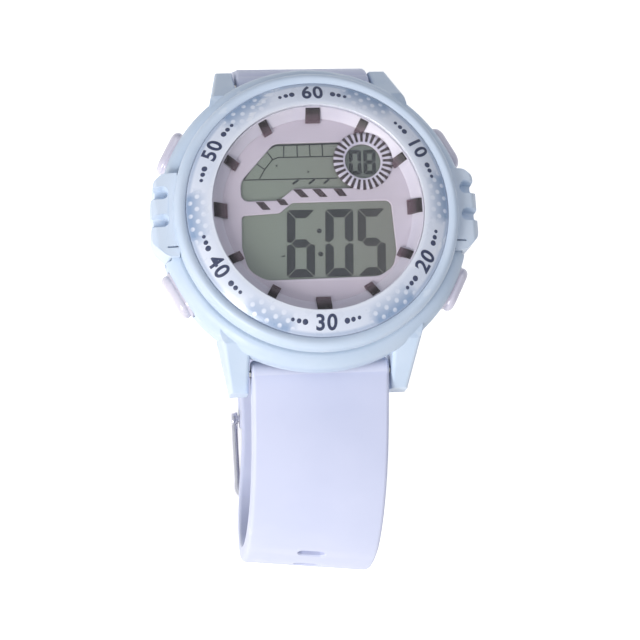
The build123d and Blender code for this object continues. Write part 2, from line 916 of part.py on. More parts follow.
def buzzer_pin():
    """Sprung pin from the board down to the buzzer."""
    low = case_back_thickness + buzzer_thickness
    return disc(buzzer_pin_radius, low, board_low, buzzer_pin_x, 0)


# Push buttons with their springs, seals and clips, drawn along +X
button_round = 1.1
stem_end = neck_radius
seal_depth = 1.8
seal_place = spring_seat_back - seal_depth
seal_width = 0.8
seal_groove_radius = 0.65
seal_bite = 0.04
clip_inset = 0.25
clip_place = stem_end + clip_inset
clip_groove = 0.35
clip_plate = 0.25
clip_groove_radius = 0.7
clip_outer_radius = 1.7
clip_mouth = 1.2
coil_radius = 1.45
coil_wire_radius = 0.2
coil_turns = 4


def button():
    """Cap and stem of one button, with grooves for the seal and the clip."""
    cap = pill_x(
        button_cap_length, button_cap_height, button_cap_back, button_cap_front, 0, button_height
    )
    cap = fillet(cap.edges().group_by(Axis.X)[-1], button_round)
    stem = rod_x(button_stem_radius, stem_end, button_cap_back, 0, button_height)
    seal_ring = rod_x(button_stem_radius + overrun, seal_place, seal_place + seal_width, 0, button_height)
    seal_ring -= rod_x(seal_groove_radius, stem_end, button_cap_back, 0, button_height)
    clip_ring = rod_x(button_stem_radius + overrun, clip_place, clip_place + clip_groove, 0, button_height)
    clip_ring -= rod_x(clip_groove_radius, stem_end, button_cap_back, 0, button_height)
    return cap + (stem - seal_ring - clip_ring)


def button_seal():
    """Rubber ring in the stem's groove."""
    low = seal_place + running_clearance
    high = seal_place + seal_width - running_clearance
    ring = rod_x(button_stem_radius + seal_bite, low, high, 0, button_height)
    inner = seal_groove_radius + running_clearance / 2
    return ring - rod_x(inner, low - overrun, high + overrun, 0, button_height)


def button_clip():
    """Open retaining clip on the stem's inner end."""
    low = clip_place + running_clearance
    high = low + clip_plate
    plate = rod_x(clip_outer_radius, low, high, 0, button_height)
    inner = clip_groove_radius + running_clearance / 2
    plate -= rod_x(inner, low - overrun, high + overrun, 0, button_height)
    mouth_top = button_height + clip_outer_radius + overrun
    return plate - block(2 * overrun, clip_mouth, button_height, mouth_top, (low + high) / 2)


def button_spring():
    """Return coil between the case's spring seat and the cap."""
    start = spring_seat_back + coil_wire_radius
    length = button_cap_back - start - coil_wire_radius
    coil = Helix(length / coil_turns, length, coil_radius)
    wire = Plane(coil @ 0, z_dir=coil % 0) * Circle(coil_wire_radius)
    wound = sweep(wire, coil)
    return Pos(start, 0, button_height) * Rot(0, quarter_turn, 0) * wound


# Spring bars: a tube and two tips in each pair of lugs
bar_tube_radius = 0.75
bar_tube_inset = 0.4
bar_tube_half = strap_gauge / 2 - bar_tube_inset
bar_tip_end = lug_gap / 2 + bar_hole_depth - seat_clearance


def spring_bar_tubes():
    """Tubes of the two spring bars."""
    return [
        rod_x(bar_tube_radius, -bar_tube_half, bar_tube_half, side * bar_reach, bar_height)
        for side in both_sides
    ]


def spring_bar_tips():
    """Four tips that reach into the lugs."""
    tips = []
    for side in both_sides:
        tips.append(rod_x(bar_tip_radius, bar_tube_half, bar_tip_end, side * bar_reach, bar_height))
        tips.append(rod_x(bar_tip_radius, -bar_tip_end, -bar_tube_half, side * bar_reach, bar_height))
    return tips


# Strap halves, as bands along runs of (radius, turn in degrees); a straight run has turn 0
half_thickness = strap_thickness / 2
long_heading = 192
long_root_run = 0.8
long_limb_radius = 29.2
long_curl_radius = 15.5
long_tail_gap = 2.2  # between the start of the tail's curve and the short half's heel
long_tail_radius = 13.0
long_tail_turn = 38
hole_first = 33.0
hole_pitch = 6.4
hole_count = 10
hole_length = 4.2
hole_width = 1.9
taper_run = 4.0
taper_middle_y = buckle_bar_y - taper_run
tail_narrowing = 0.3
short_heading = -30
short_fall = -68.7
short_slant = -125
short_root_share = 0.126  # these are of the strap's drop from its bars to its floor
short_root_run_share = 0.1146
short_limb_share = 0.5728
short_knee_share = 0.3208
short_keeper_share = 0.3666
short_heel_share = 0.3666
buckle_bar_radius = 0.7
tongue_width = 1.9
tongue_room = 0.35
tongue_slot_y = 2.6
flat_turn = -180


def step(place, radius, turn, share=1):
    """The (y, z, heading) reached after a share of one run."""
    y, z, heading = place
    if turn == 0:
        reach = radius * share
        return y + reach * math.cos(heading), z + reach * math.sin(heading), heading
    signed = math.copysign(radius, turn)
    ahead = heading + math.radians(turn) * share
    y += signed * (math.sin(ahead) - math.sin(heading))
    z += signed * (math.cos(heading) - math.cos(ahead))
    return y, z, ahead


def beside(place, offset, x):
    """Point at an offset to the left of a place on the band's middle line."""
    y, z, heading = place
    return (x, y - offset * math.sin(heading), z + offset * math.cos(heading))


def run_length(radius, turn):
    """Length of one run."""
    return radius if turn == 0 else radius * abs(math.radians(turn))


def band(start, runs, width):
    """Solid band of the strap's thickness along its runs, rounded at the far end."""
    x = -width / 2
    edges = []
    place = start
    for radius, turn in runs:
        ends = (place, step(place, radius, turn))
        middle = step(place, radius, turn, 1 / 2)
        for offset in (half_thickness, -half_thickness):
            first, last = beside(ends[0], offset, x), beside(ends[1], offset, x)
            if turn == 0:
                edges.append(Line(first, last))
            else:
                edges.append(ThreePointArc(first, beside(middle, offset, x), last))
        place = ends[1]
    edges.append(Line(beside(start, half_thickness, x), beside(start, -half_thickness, x)))
    tip = step(place, half_thickness, 0)
    left, right = beside(place, half_thickness, x), beside(place, -half_thickness, x)
    edges.append(ThreePointArc(left, (x, tip[0], tip[1]), right))
    return extrude(make_face(edges), width, dir=(1, 0, 0))


def along(start, runs, distance):
    """The (y, z, heading) at a distance along the runs."""
    place = start
    for radius, turn in runs:
        length = run_length(radius, turn)
        if distance <= length:
            return step(place, radius, turn, distance / length)
        distance -= length
        place = step(place, radius, turn)
    return place


def end_of(start, runs):
    """The (y, z, heading) at the end of the runs."""
    for radius, turn in runs:
        start = step(start, radius, turn)
    return start


# The long strap falls from its bar, curls under and lies flat; its tail lifts off before the heel
long_start = (-bar_reach, bar_height, math.radians(long_heading))
long_fall = [(long_root_run, 0), (long_limb_radius, 3 * quarter_turn - long_heading)]
long_limb = end_of(long_start, long_fall)
long_curl = [(long_curl_radius, quarter_turn)]
long_flat_start, long_floor = end_of(long_limb, long_curl)[:2]

# The buckle bar lies just below the long strap, and the short strap's flat ends level with it
buckle_bar_z = long_floor - half_thickness - side_clearance - buckle_knuckle_radius
stand_height = buckle_bar_z - buckle_knuckle_radius
short_floor = stand_height + half_thickness
strap_drop = bar_height - long_floor
short_root_radius = strap_drop * short_root_share
short_root_run = strap_drop * short_root_run_share
short_limb_radius = strap_drop * short_limb_share
short_knee_radius = strap_drop * short_knee_share
short_keeper_run = strap_drop * short_keeper_share
short_heel_radius = strap_drop * short_heel_share
short_start = (bar_reach, bar_height, math.radians(short_heading))
short_root = [
    (short_root_radius, short_fall - short_heading),
    (short_root_run, 0),
    (short_limb_radius, -quarter_turn - short_fall),
]
short_lower = [
    (short_knee_radius, short_slant + quarter_turn),
    (short_keeper_run, 0),
    (short_heel_radius, flat_turn - short_slant),
]
heel_y, heel_z = end_of(short_start, short_root + short_lower)[:2]
short_limb = [(heel_z - short_floor, 0)]
short_flat = [(heel_y - buckle_bar_y, 0)]
short_runs = short_root + short_limb + short_lower + short_flat
long_flat = [(heel_y - long_tail_gap - long_flat_start, 0)]
long_tail = [(long_tail_radius, long_tail_turn)]
long_runs = long_fall + long_curl + long_flat + long_tail


def taper_cuts(points, low, high):
    """Wedges that narrow a strap, mirrored about its middle."""
    outer = strap_gauge
    outline = [(outer, points[0][1])] + points + [(outer, points[-1][1])]
    wedge = prism_z(outline, low, high)
    return [wedge, mirror(wedge, Plane.YZ)]


def strap_hole(place):
    """Pill-shaped cutter square to the strap at a place on its middle line."""
    y, z, heading = place
    frame = Plane((0, y, z), x_dir=(1, 0, 0), z_dir=(0, -math.sin(heading), math.cos(heading)))
    return extrude(frame * SlotOverall(hole_length, hole_width), strap_thickness, both=True)


def strap_long():
    """The holed strap half, hinged at 6 o'clock and curled under the case."""
    body = band(long_start, long_runs, strap_gauge)
    body += rod_x(root_knuckle_radius, -strap_gauge / 2, strap_gauge / 2, -bar_reach, bar_height)
    bore = bar_tube_radius + running_clearance
    body -= rod_x(bore, -strap_gauge, strap_gauge, -bar_reach, bar_height)
    for number in range(hole_count):
        body -= strap_hole(along(long_start, long_runs, hole_first + number * hole_pitch))
    tip_half = strap_tip_width / 2
    tail_end = end_of(long_start, long_runs)[0] + strap_thickness
    narrowing = [
        (strap_gauge / 2, long_limb[0]),
        (tip_half, taper_middle_y),
        (tip_half - tail_narrowing, tail_end),
    ]
    for wedge in taper_cuts(narrowing, stand_height - overrun, long_limb[1]):
        body -= wedge
    return body


def strap_short():
    """The buckle half, hinged at 12 o'clock, with a bored knuckle at each end."""
    body = band(short_start, short_runs, strap_gauge)
    half = strap_gauge / 2
    body += rod_x(root_knuckle_radius, -half, half, bar_reach, bar_height)
    knuckle = rod_x(buckle_knuckle_radius, -half, half, buckle_bar_y, buckle_bar_z)
    body += knuckle
    bore = bar_tube_radius + running_clearance
    body -= rod_x(bore, -strap_gauge, strap_gauge, bar_reach, bar_height)
    pin_bore = buckle_bar_radius + running_clearance
    body -= rod_x(pin_bore, -strap_gauge, strap_gauge, buckle_bar_y, buckle_bar_z)
    slot_x = tongue_width + 2 * tongue_room
    slot_top = long_floor
    body -= block(slot_x, 2 * tongue_slot_y, stand_height - overrun, slot_top, 0, buckle_bar_y)
    heel = end_of(short_start, short_root + short_limb + short_lower[:-1])
    tip_half = strap_tip_width / 2
    narrowing = [
        (half, heel[0]),
        (tip_half, buckle_bar_y + short_heel_radius),
        (tip_half, buckle_bar_y - 2 * buckle_knuckle_radius),
    ]
    for wedge in taper_cuts(narrowing, stand_height - overrun, heel[1]):
        body -= wedge
    return body


# Keeper: a loop that slides on the short strap's straight slanted run
keeper_width = 5.0
keeper_wall = 1.2
keeper_room = 5.6
keeper_side_gap = 0.3
keeper_round = 0.4


def strap_keeper():
    """Rubber loop round the short strap, with room outside it for the other half."""
    knee = end_of(short_start, short_root + short_limb + short_lower[:1])
    y, z, heading = step(knee, short_keeper_run / 2, 0)
    frame = Plane((0, y, z), x_dir=(1, 0, 0), z_dir=(0, math.cos(heading), math.sin(heading)))
    inner_x = strap_gauge + 2 * keeper_side_gap
    lift = keeper_room / 2 - half_thickness - keeper_side_gap
    outer = Box(inner_x + 2 * keeper_wall, keeper_room + 2 * keeper_wall, keeper_width)
    outer = fillet(outer.edges().filter_by(Axis.Z), keeper_wall)
    ring = outer - Box(inner_x, keeper_room, keeper_width + overrun)
    ring = fillet(ring.edges().filter_by(Axis.X), keeper_round)
    return frame.location * Pos(0, -lift, 0) * ring


# Buckle: frame, tongue and bar
rail_inner = strap_tip_width / 2 + side_clearance
rail_width = 1.1
rail_outer = rail_inner + rail_width
rail_half_height = 0.9
far_bar_reach = 3.9  # past the start of the long strap's flat
far_bar_y = long_flat_start - far_bar_reach
far_bar_width = 2.2
far_bar_height = 1.5
far_bar_drop = 1.6
far_bar_top = long_floor - far_bar_drop
rail_bow = 0.5
eye_radius = 1.3
frame_corner = 2.2
tongue_thickness = 0.9
tongue_nose_reach = 0.4
tongue_tip_y = far_bar_y - tongue_nose_reach
tongue_drop = 0.6  # below the far bar's underside
tongue_eye_radius = 1.3
tongue_nose = 0.6


def buckle_frame():
    """U-shaped steel frame, slightly bowed, with an eye at each rail's end."""
    near_top = buckle_bar_z + rail_half_height
    near_low = buckle_bar_z - rail_half_height
    far_low = far_bar_top - far_bar_height
    middle_y = (buckle_bar_y + far_bar_y) / 2
    x = -rail_outer
    edges = [
        ThreePointArc(
            (x, buckle_bar_y, near_top),
            (x, middle_y, (near_top + far_bar_top) / 2 - rail_bow),
            (x, far_bar_y, far_bar_top),
        ),
        Line((x, far_bar_y, far_bar_top), (x, far_bar_y, far_low)),
        ThreePointArc(
            (x, far_bar_y, far_low),
            (x, middle_y, (near_low + far_low) / 2 - rail_bow),
            (x, buckle_bar_y, near_low),
        ),
        Line((x, buckle_bar_y, near_low), (x, buckle_bar_y, near_top)),
    ]
    body = extrude(make_face(edges), 2 * rail_outer, dir=(1, 0, 0))
    inner_end = far_bar_y + far_bar_width
    window = buckle_bar_y + 2 * overrun - inner_end
    low, high = stand_height - overrun, far_bar_top + 2 * overrun
    plan_length = buckle_bar_y - far_bar_y + 2 * frame_corner
    plan = Pos(0, far_bar_y + plan_length / 2, low) * RectangleRounded(
        2 * rail_outer, plan_length, frame_corner
    )
    body = body & extrude(plan, high - low, dir=(0, 0, 1))
    body -= block(2 * rail_inner, window, low, high, 0, inner_end + window / 2)
    for side in both_sides:
        first, last = sorted((side * rail_inner, side * rail_outer))
        body += rod_x(eye_radius, first, last, buckle_bar_y, buckle_bar_z)
    bore = buckle_bar_radius + running_clearance
    return body - rod_x(bore, -strap_gauge, strap_gauge, buckle_bar_y, buckle_bar_z)


def buckle_tongue():
    """Flat tongue from the bar to just past the frame's far bar."""
    half = tongue_width / 2
    top = far_bar_top - far_bar_height - tongue_drop
    near = tongue_thickness / 2
    body = prism_x(
        [
            (buckle_bar_y, buckle_bar_z + near),
            (tongue_tip_y, top),
            (tongue_tip_y, top - tongue_thickness),
            (buckle_bar_y, buckle_bar_z - near),
        ],
        half,
    )
    upright = body.edges().filter_by(Axis.Z).group_by(Axis.Y)[0]
    body = fillet(upright, tongue_nose)
    body += rod_x(tongue_eye_radius, -half, half, buckle_bar_y, buckle_bar_z)
    bore = buckle_bar_radius + running_clearance
    return body - rod_x(bore, -strap_gauge, strap_gauge, buckle_bar_y, buckle_bar_z)


def buckle_bar():
    """Pin through the short strap's end, the tongue and the frame's eyes."""
    return rod_x(buckle_bar_radius, -rail_outer, rail_outer, buckle_bar_y, buckle_bar_z)


nodes = {
    "case_middle": case_middle,
    "bezel_cap": bezel_cap,
    "printed_ring": printed_ring,
    "crystal": crystal,
    "crystal_gasket": crystal_gasket,
    "dial_flange": dial_flange,
    "hour_markers": hour_markers,
    "dial_plate": dial_plate,
    "seconds_ring": seconds_ring,
    "lcd_cell": lcd_cell,
    "light_guide": light_guide,
    "backlight_lamp": backlight_lamp,
    "contact_strips": contact_strips,
    "module_frame": module_frame,
    "circuit_board": circuit_board,
    "control_chip": control_chip,
    "quartz_can": quartz_can,
    "button_contacts": button_contacts,
    "battery_holder": battery_holder,
    "battery_cell": battery_cell,
    "battery_contact": battery_contact,
    "battery_clip": battery_clip,
    "clip_screws": clip_screws,
    "module_screws": module_screws,
    "case_back": case_back,
    "case_back_screws": case_back_screws,
    "back_gasket": back_gasket,
    "buzzer_plate": buzzer_plate,
    "buzzer_ceramic": buzzer_ceramic,
    "buzzer_pin": buzzer_pin,
    "spring_bar_tubes": spring_bar_tubes,
    "spring_bar_tips": spring_bar_tips,
    "strap_long": strap_long,
    "strap_short": strap_short,
    "strap_keeper": strap_keeper,
    "buckle_frame": buckle_frame,
    "buckle_tongue": buckle_tongue,
    "buckle_bar": buckle_bar,
}
button_pieces = {
    "button": button,
    "button_seal": button_seal,
    "button_clip": button_clip,
    "button_spring": button_spring,
}


def write(name, shapes):
    """Write one node's solids to its file."""
    solids = []
    for shape in shapes:
        solids += shape.solids()
    whole = solids[0] if len(solids) == 1 else Compound(children=solids)
    whole.label = name
    export_step(whole, os.path.join("parts", name + ".step"))


os.makedirs("parts", exist_ok=True)
for name, make in nodes.items():
    made = make()
    write(name, made if isinstance(made, list) else [made])
for piece, make in button_pieces.items():
    drawn = make()
    for place, angle in button_angles.items():
        write(piece + "_" + place, [around(angle, drawn)])
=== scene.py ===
import json
import logging
import math
from collections.abc import Callable
from dataclasses import dataclass
from enum import Enum
from functools import cached_property

import bmesh
import bpy
from mathutils import Matrix, Vector

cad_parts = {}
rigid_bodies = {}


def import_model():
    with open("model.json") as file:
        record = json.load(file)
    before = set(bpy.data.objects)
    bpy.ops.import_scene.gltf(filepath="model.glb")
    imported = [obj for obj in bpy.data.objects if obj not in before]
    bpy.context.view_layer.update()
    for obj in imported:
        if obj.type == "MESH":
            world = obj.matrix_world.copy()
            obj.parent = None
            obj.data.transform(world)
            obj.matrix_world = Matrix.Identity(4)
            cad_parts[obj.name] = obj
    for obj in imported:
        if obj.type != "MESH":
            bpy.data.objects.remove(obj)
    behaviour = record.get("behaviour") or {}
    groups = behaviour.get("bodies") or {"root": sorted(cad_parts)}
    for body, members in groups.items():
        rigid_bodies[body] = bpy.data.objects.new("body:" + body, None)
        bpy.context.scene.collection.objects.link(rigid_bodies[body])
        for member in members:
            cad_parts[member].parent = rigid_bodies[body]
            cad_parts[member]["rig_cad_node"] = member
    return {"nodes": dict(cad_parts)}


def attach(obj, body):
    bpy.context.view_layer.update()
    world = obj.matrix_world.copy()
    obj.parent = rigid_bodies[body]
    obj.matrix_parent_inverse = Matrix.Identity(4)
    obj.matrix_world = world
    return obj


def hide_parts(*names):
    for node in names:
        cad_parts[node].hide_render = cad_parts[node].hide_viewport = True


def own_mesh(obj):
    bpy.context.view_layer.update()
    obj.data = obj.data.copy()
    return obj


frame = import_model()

# Looks of a round digital wrist watch on a curled rubber strap, dial up.
# Sizes are in millimetres in the CAD model's frame and turn to metres where a mesh is made.

log = logging.getLogger("watch")
MM = 0.001
TINY = 1e-6
SIDE_SHARE = 0.49  # the most of a side that one rounding takes up
BORE_CREASE = 32.0  # degrees over which an edge stays sharp where bores and slots are cut
Flat = tuple[float, float]
Spot = tuple[float, float, float]
Colour = tuple[float, float, float, float]
Socket = bpy.types.NodeSocket


# Drawing helpers


def rounded(corners: list[Spot], steps: int = 6) -> list[Flat]:
    """Round the corners of a closed outline.

    Args:
        corners: (x, y, radius) of each corner, in order.
        steps: segments of each rounding.

    Returns:
        The outline's points.
    """
    outline: list[Flat] = []
    for index, (x, y, radius) in enumerate(corners):
        here = Vector((x, y))
        back = Vector(corners[index - 1][:2]) - here
        ahead = Vector(corners[(index + 1) % len(corners)][:2]) - here
        half = back.angle(ahead) / 2
        reach = min(radius / math.tan(half), SIDE_SHARE * back.length, SIDE_SHARE * ahead.length)
        if radius <= 0 or reach < TINY:
            outline.append((x, y))
            continue
        inwards = (back.normalized() + ahead.normalized()).normalized()
        centre = here + inwards * (reach * math.tan(half) / math.sin(half))
        first = here + back.normalized() * reach - centre
        last = here + ahead.normalized() * reach - centre
        sweep = math.atan2(first.x * last.y - first.y * last.x, first.dot(last))
        for step in range(steps + 1):
            point = centre + Matrix.Rotation(sweep * step / steps, 2) @ first
            outline.append((point.x, point.y))
    return outline


def oblong(low: Flat, high: Flat, radii: tuple[float, ...], steps: int) -> list[Flat]:
    """A rectangle with a rounding of its own at each corner.

    Args:
        low: the first corner.
        high: the corner across from it.
        radii: the roundings, in order from the first corner along x.
        steps: segments of each rounding.

    Returns:
        The outline's points.
    """
    places = (low, (high[0], low[1]), high, (low[0], high[1]))
    return rounded([(x, y, radius) for (x, y), radius in zip(places, radii)], steps)


def circle(radius: float, count: int, x: float = 0.0, y: float = 0.0) -> list[Flat]:
    """Points of a circle, anticlockwise."""
    turns = [2 * math.pi * index / count for index in range(count)]
    return [(x + radius * math.cos(turn), y + radius * math.sin(turn)) for turn in turns]


def arc(first: float, last: float, steps: int) -> list[Flat]:
    """Cosines and sines at even steps from one angle in degrees to another."""
    turns = [math.radians(first + (last - first) * step / steps) for step in range(steps + 1)]
    return [(math.cos(turn), math.sin(turn)) for turn in turns]


def eased(share: float) -> float:
    """A share from 0 to 1 that starts and ends slowly."""
    return share * share * (3 - 2 * share)


def rings_across(stations: list[Flat], y: float, z: float, count: int) -> list[list[Spot]]:
    """Rings about an axis along X at y and z, one for each (x, radius)."""
    return [[(x, y + a, z + b) for a, b in circle(radius, count)] for x, radius in stations]


def ribbon(points: list[Flat], width: float, sharpest: float = 0.4) -> list[Flat]:
    """Outline of a line of one width through the points, mitred at its bends.

    Args:
        points: the line's middle.
        width: the line's width.
        sharpest: the least cosine that a mitre is worked out from.

    Returns:
        The closed outline.
    """
    sides: tuple[list[Flat], list[Flat]] = ([], [])
    for index, point in enumerate(points):
        before = Vector(points[max(index - 1, 0)])
        after = Vector(points[min(index + 1, len(points) - 1)])
        here = Vector(point)
        inward = (here - before).normalized() if index else (after - here).normalized()
        outward = (after - here).normalized() if index < len(points) - 1 else inward
        along = (inward + outward).normalized()
        across = Vector((-along.y, along.x)) * (width / 2 / max(along.dot(inward), sharpest))
        sides[0].append(tuple(here + across))
        sides[1].append(tuple(here - across))
    return sides[0] + sides[1][::-1]


class Shell:
    """Points and faces gathered in millimetres and made into one mesh in metres."""

    def __init__(self) -> None:
        """Start empty."""
        self.points: list[Spot] = []
        self.faces: list[tuple[int, ...]] = []

    def loft(self, rings: list[list[Spot]], looped: bool = False) -> "Shell":
        """Join equal rings of points by quads.

        Args:
            rings: rings of points, each as long as the next.
            looped: whether the last ring joins the first; otherwise both ends are capped.

        Returns:
            This shell.
        """
        first, count = len(self.points), len(rings[0])
        for ring in rings:
            self.points += ring
        for index in range(len(rings) if looped else len(rings) - 1):
            low, high = first + index * count, first + (index + 1) % len(rings) * count
            for step in range(count):
                ahead = (step + 1) % count
                self.faces.append((low + step, low + ahead, high + ahead, high + step))
        if not looped:
            self.faces.append(tuple(first + step for step in reversed(range(count))))
            self.faces.append(tuple(first + (len(rings) - 1) * count + step for step in range(count)))
        return self

    def prism(self, outline: list[Flat], low: float, high: float) -> "Shell":
        """Add an upright prism of a plan outline between two heights."""
        return self.loft([[(x, y, z) for x, y in outline] for z in (low, high)])

    def turned(self, profile: list[Flat], count: int, centre: Flat = (0.0, 0.0)) -> "Shell":
        """Add a turned ring.

        Args:
            profile: closed outline of (radius, height) points.
            count: segments round the axis.
            centre: the axis's place in plan.

        Returns:
            This shell.
        """
        rings = []
        for cosine, sine in circle(1.0, count):
            rings.append([(centre[0] + r * cosine, centre[1] + r * sine, z) for r, z in profile])
        return self.loft(rings, looped=True)

    def make(self, name: str, crease: float = 35.0) -> bpy.types.Object:
        """Make the gathered shell into one smooth-shaded piece, sharp over a crease in degrees.

        Args:
            name: the piece's name.
            crease: angle in degrees over which an edge stays sharp.

        Returns:
            The piece.
        """
        mesh = bpy.data.meshes.new(name)
        mesh.from_pydata([(x * MM, y * MM, z * MM) for x, y, z in self.points], [], self.faces)
        work = bmesh.new()
        work.from_mesh(mesh)
        bmesh.ops.remove_doubles(work, verts=work.verts, dist=1e-7)
        bmesh.ops.recalc_face_normals(work, faces=work.faces)
        work.to_mesh(mesh)
        work.free()
        piece = show(name, mesh)
        smooth(piece, crease)
        return piece


def show(name: str, data: bpy.types.ID) -> bpy.types.Object:
    """A new object in the scene for a mesh, a curve, a lamp or a camera.

    Args:
        name: the object's name.
        data: what it shows.

    Returns:
        The object.
    """
    piece = bpy.data.objects.new(name, data)
    bpy.context.scene.collection.objects.link(piece)
    return piece


def smooth(piece: bpy.types.Object, crease: float = 35.0) -> None:
    """Shade a piece smooth, apart from edges sharper than crease degrees."""
    piece.data.shade_smooth()
    piece.data.set_sharp_from_angle(angle=math.radians(crease))


def evaluated(piece: bpy.types.Object) -> bpy.types.Mesh:
    """A new mesh of a piece, as its curve or its modifiers shape it."""
    bpy.context.view_layer.update()
    return bpy.data.meshes.new_from_object(piece.evaluated_get(bpy.context.evaluated_depsgraph_get()))


def settle(piece: bpy.types.Object, crease: float = 35.0) -> None:
    """Apply a piece's modifiers to its mesh and shade it again.

    Args:
        piece: the piece.
        crease: angle in degrees over which an edge stays sharp.
    """
    mesh, before = evaluated(piece), piece.data
    piece.modifiers.clear()
    piece.data = mesh
    bpy.data.meshes.remove(before)
    smooth(piece, crease)


def from_curve(name: str, curve: bpy.types.Curve) -> bpy.types.Mesh:
    """The mesh of a curve, which is then gone.

    Args:
        name: a name for the curve's object in between.
        curve: the curve, which is then gone.

    Returns:
        The mesh.
    """
    piece = show(name, curve)
    mesh = evaluated(piece)
    bpy.data.objects.remove(piece)
    bpy.data.curves.remove(curve)
    return mesh


class Join(Enum):
    """Ways to combine two solids."""

    CUT = "DIFFERENCE"
    ADD = "UNION"
    KEEP = "INTERSECT"


def combine(
    piece: bpy.types.Object, tools: list[bpy.types.Object], how: Join, crease: float = 35.0
) -> None:
    """Cut, join or intersect a piece with other solids, which are then gone.

    Args:
        piece: the solid that stays.
        tools: the solids to combine it with.
        how: whether to cut them away, add them or keep what they share.
        crease: angle in degrees over which an edge stays sharp.
    """
    for tool in tools:
        step = piece.modifiers.new("combine", "BOOLEAN")
        step.operation = how.value
        step.solver = "EXACT"
        step.object = tool
        settle(piece, crease)
        spent = tool.data
        bpy.data.objects.remove(tool)
        bpy.data.meshes.remove(spent)


def soften(piece: bpy.types.Object, width: float, angle: float = 40.0, segments: int = 3) -> None:
    """Round a piece's edges that are sharper than an angle in degrees to a width in millimetres.

    Args:
        piece: the piece.
        width: the rounding in millimetres.
        angle: edges sharper than this, in degrees, are rounded.
        segments: segments of each rounding.
    """
    bevel = piece.modifiers.new("rounding", "BEVEL")
    bevel.width = width * MM
    bevel.segments = segments
    bevel.limit_method = "ANGLE"
    bevel.angle_limit = math.radians(angle)
    bevel.use_clamp_overlap = True
    settle(piece)
    even = piece.modifiers.new("even", "WEIGHTED_NORMAL")
    even.keep_sharp = True
    settle(piece)


def pin(
    radius: float, half: float, y: float, z: float, edge: float = 0.0, count: int = 40
) -> bpy.types.Object:
    """A rod across the watch, to join or to bore with.

    Args:
        radius: the rod's radius.
        half: half its length.
        y: its axis's y.
        z: its axis's height.
        edge: the slant at both ends.
        count: segments round the axis.

    Returns:
        The rod as a piece.
    """
    ends = [(-half, radius - edge), (edge - half, radius), (half - edge, radius), (half, radius - edge)]
    return Shell().loft(rings_across(ends, y, z, count)).make("pin")


# Finishes


def linear(code: str) -> Colour:
    """Turn an sRGB hex colour such as #C3D9EA into linear RGBA.

    Args:
        code: a hash sign and six hexadecimal digits.

    Returns:
        The linear colour.
    """
    parts = [int(code[place:place + 2], 16) / 255 for place in (1, 3, 5)]
    values = [part / 12.92 if part <= 0.04045 else ((part + 0.055) / 1.055) ** 2.4 for part in parts]
    return values[0], values[1], values[2], 1.0


def feed(node: bpy.types.Node, inputs: dict[str | int, object]) -> None:
    """Give each named or numbered input of a node its value, or a link where that is a socket.

    Args:
        node: the node.
        inputs: a value, or a socket to link, for each input by name or number.
    """
    for place, value in inputs.items():
        if isinstance(value, Socket):
            node.id_data.links.new(value, node.inputs[place])
        else:
            node.inputs[place].default_value = value


def add_node(
    tree: bpy.types.NodeTree, kind: str, inputs: dict[str | int, object] | None = None, **settings: object
) -> bpy.types.bpy_prop_collection:
    """Add a shader node with its settings, input values and links.

    Args:
        tree: the material's tree.
        kind: the node's type after ShaderNode.
        inputs: a value, or a socket to link, for each input by name or number.
        settings: the node's own properties.

    Returns:
        The node's outputs.
    """
    node = tree.nodes.new("ShaderNode" + kind)
    for name, value in settings.items():
        setattr(node, name, value)
    feed(node, inputs or {})
    return node.outputs


def blend(
    tree: bpy.types.NodeTree,
    factor: Socket,
    first: Socket | Colour,
    second: Socket | Colour,
    span: Flat = (0.0, 1.0),
) -> Socket:
    """Blend two colours as a factor goes over a span.

    Args:
        tree: the material's tree.
        factor: what the blend follows.
        first: colour or socket at the span's start.
        second: colour or socket at the span's end.
        span: the factors that give the first and the second colour alone.

    Returns:
        The blended colour.
    """
    share = add_node(tree, "MapRange", {"Value": factor, "From Min": span[0], "From Max": span[1]})[0]
    return add_node(tree, "Mix", {0: share, 6: first, 7: second}, data_type="RGBA")[2]


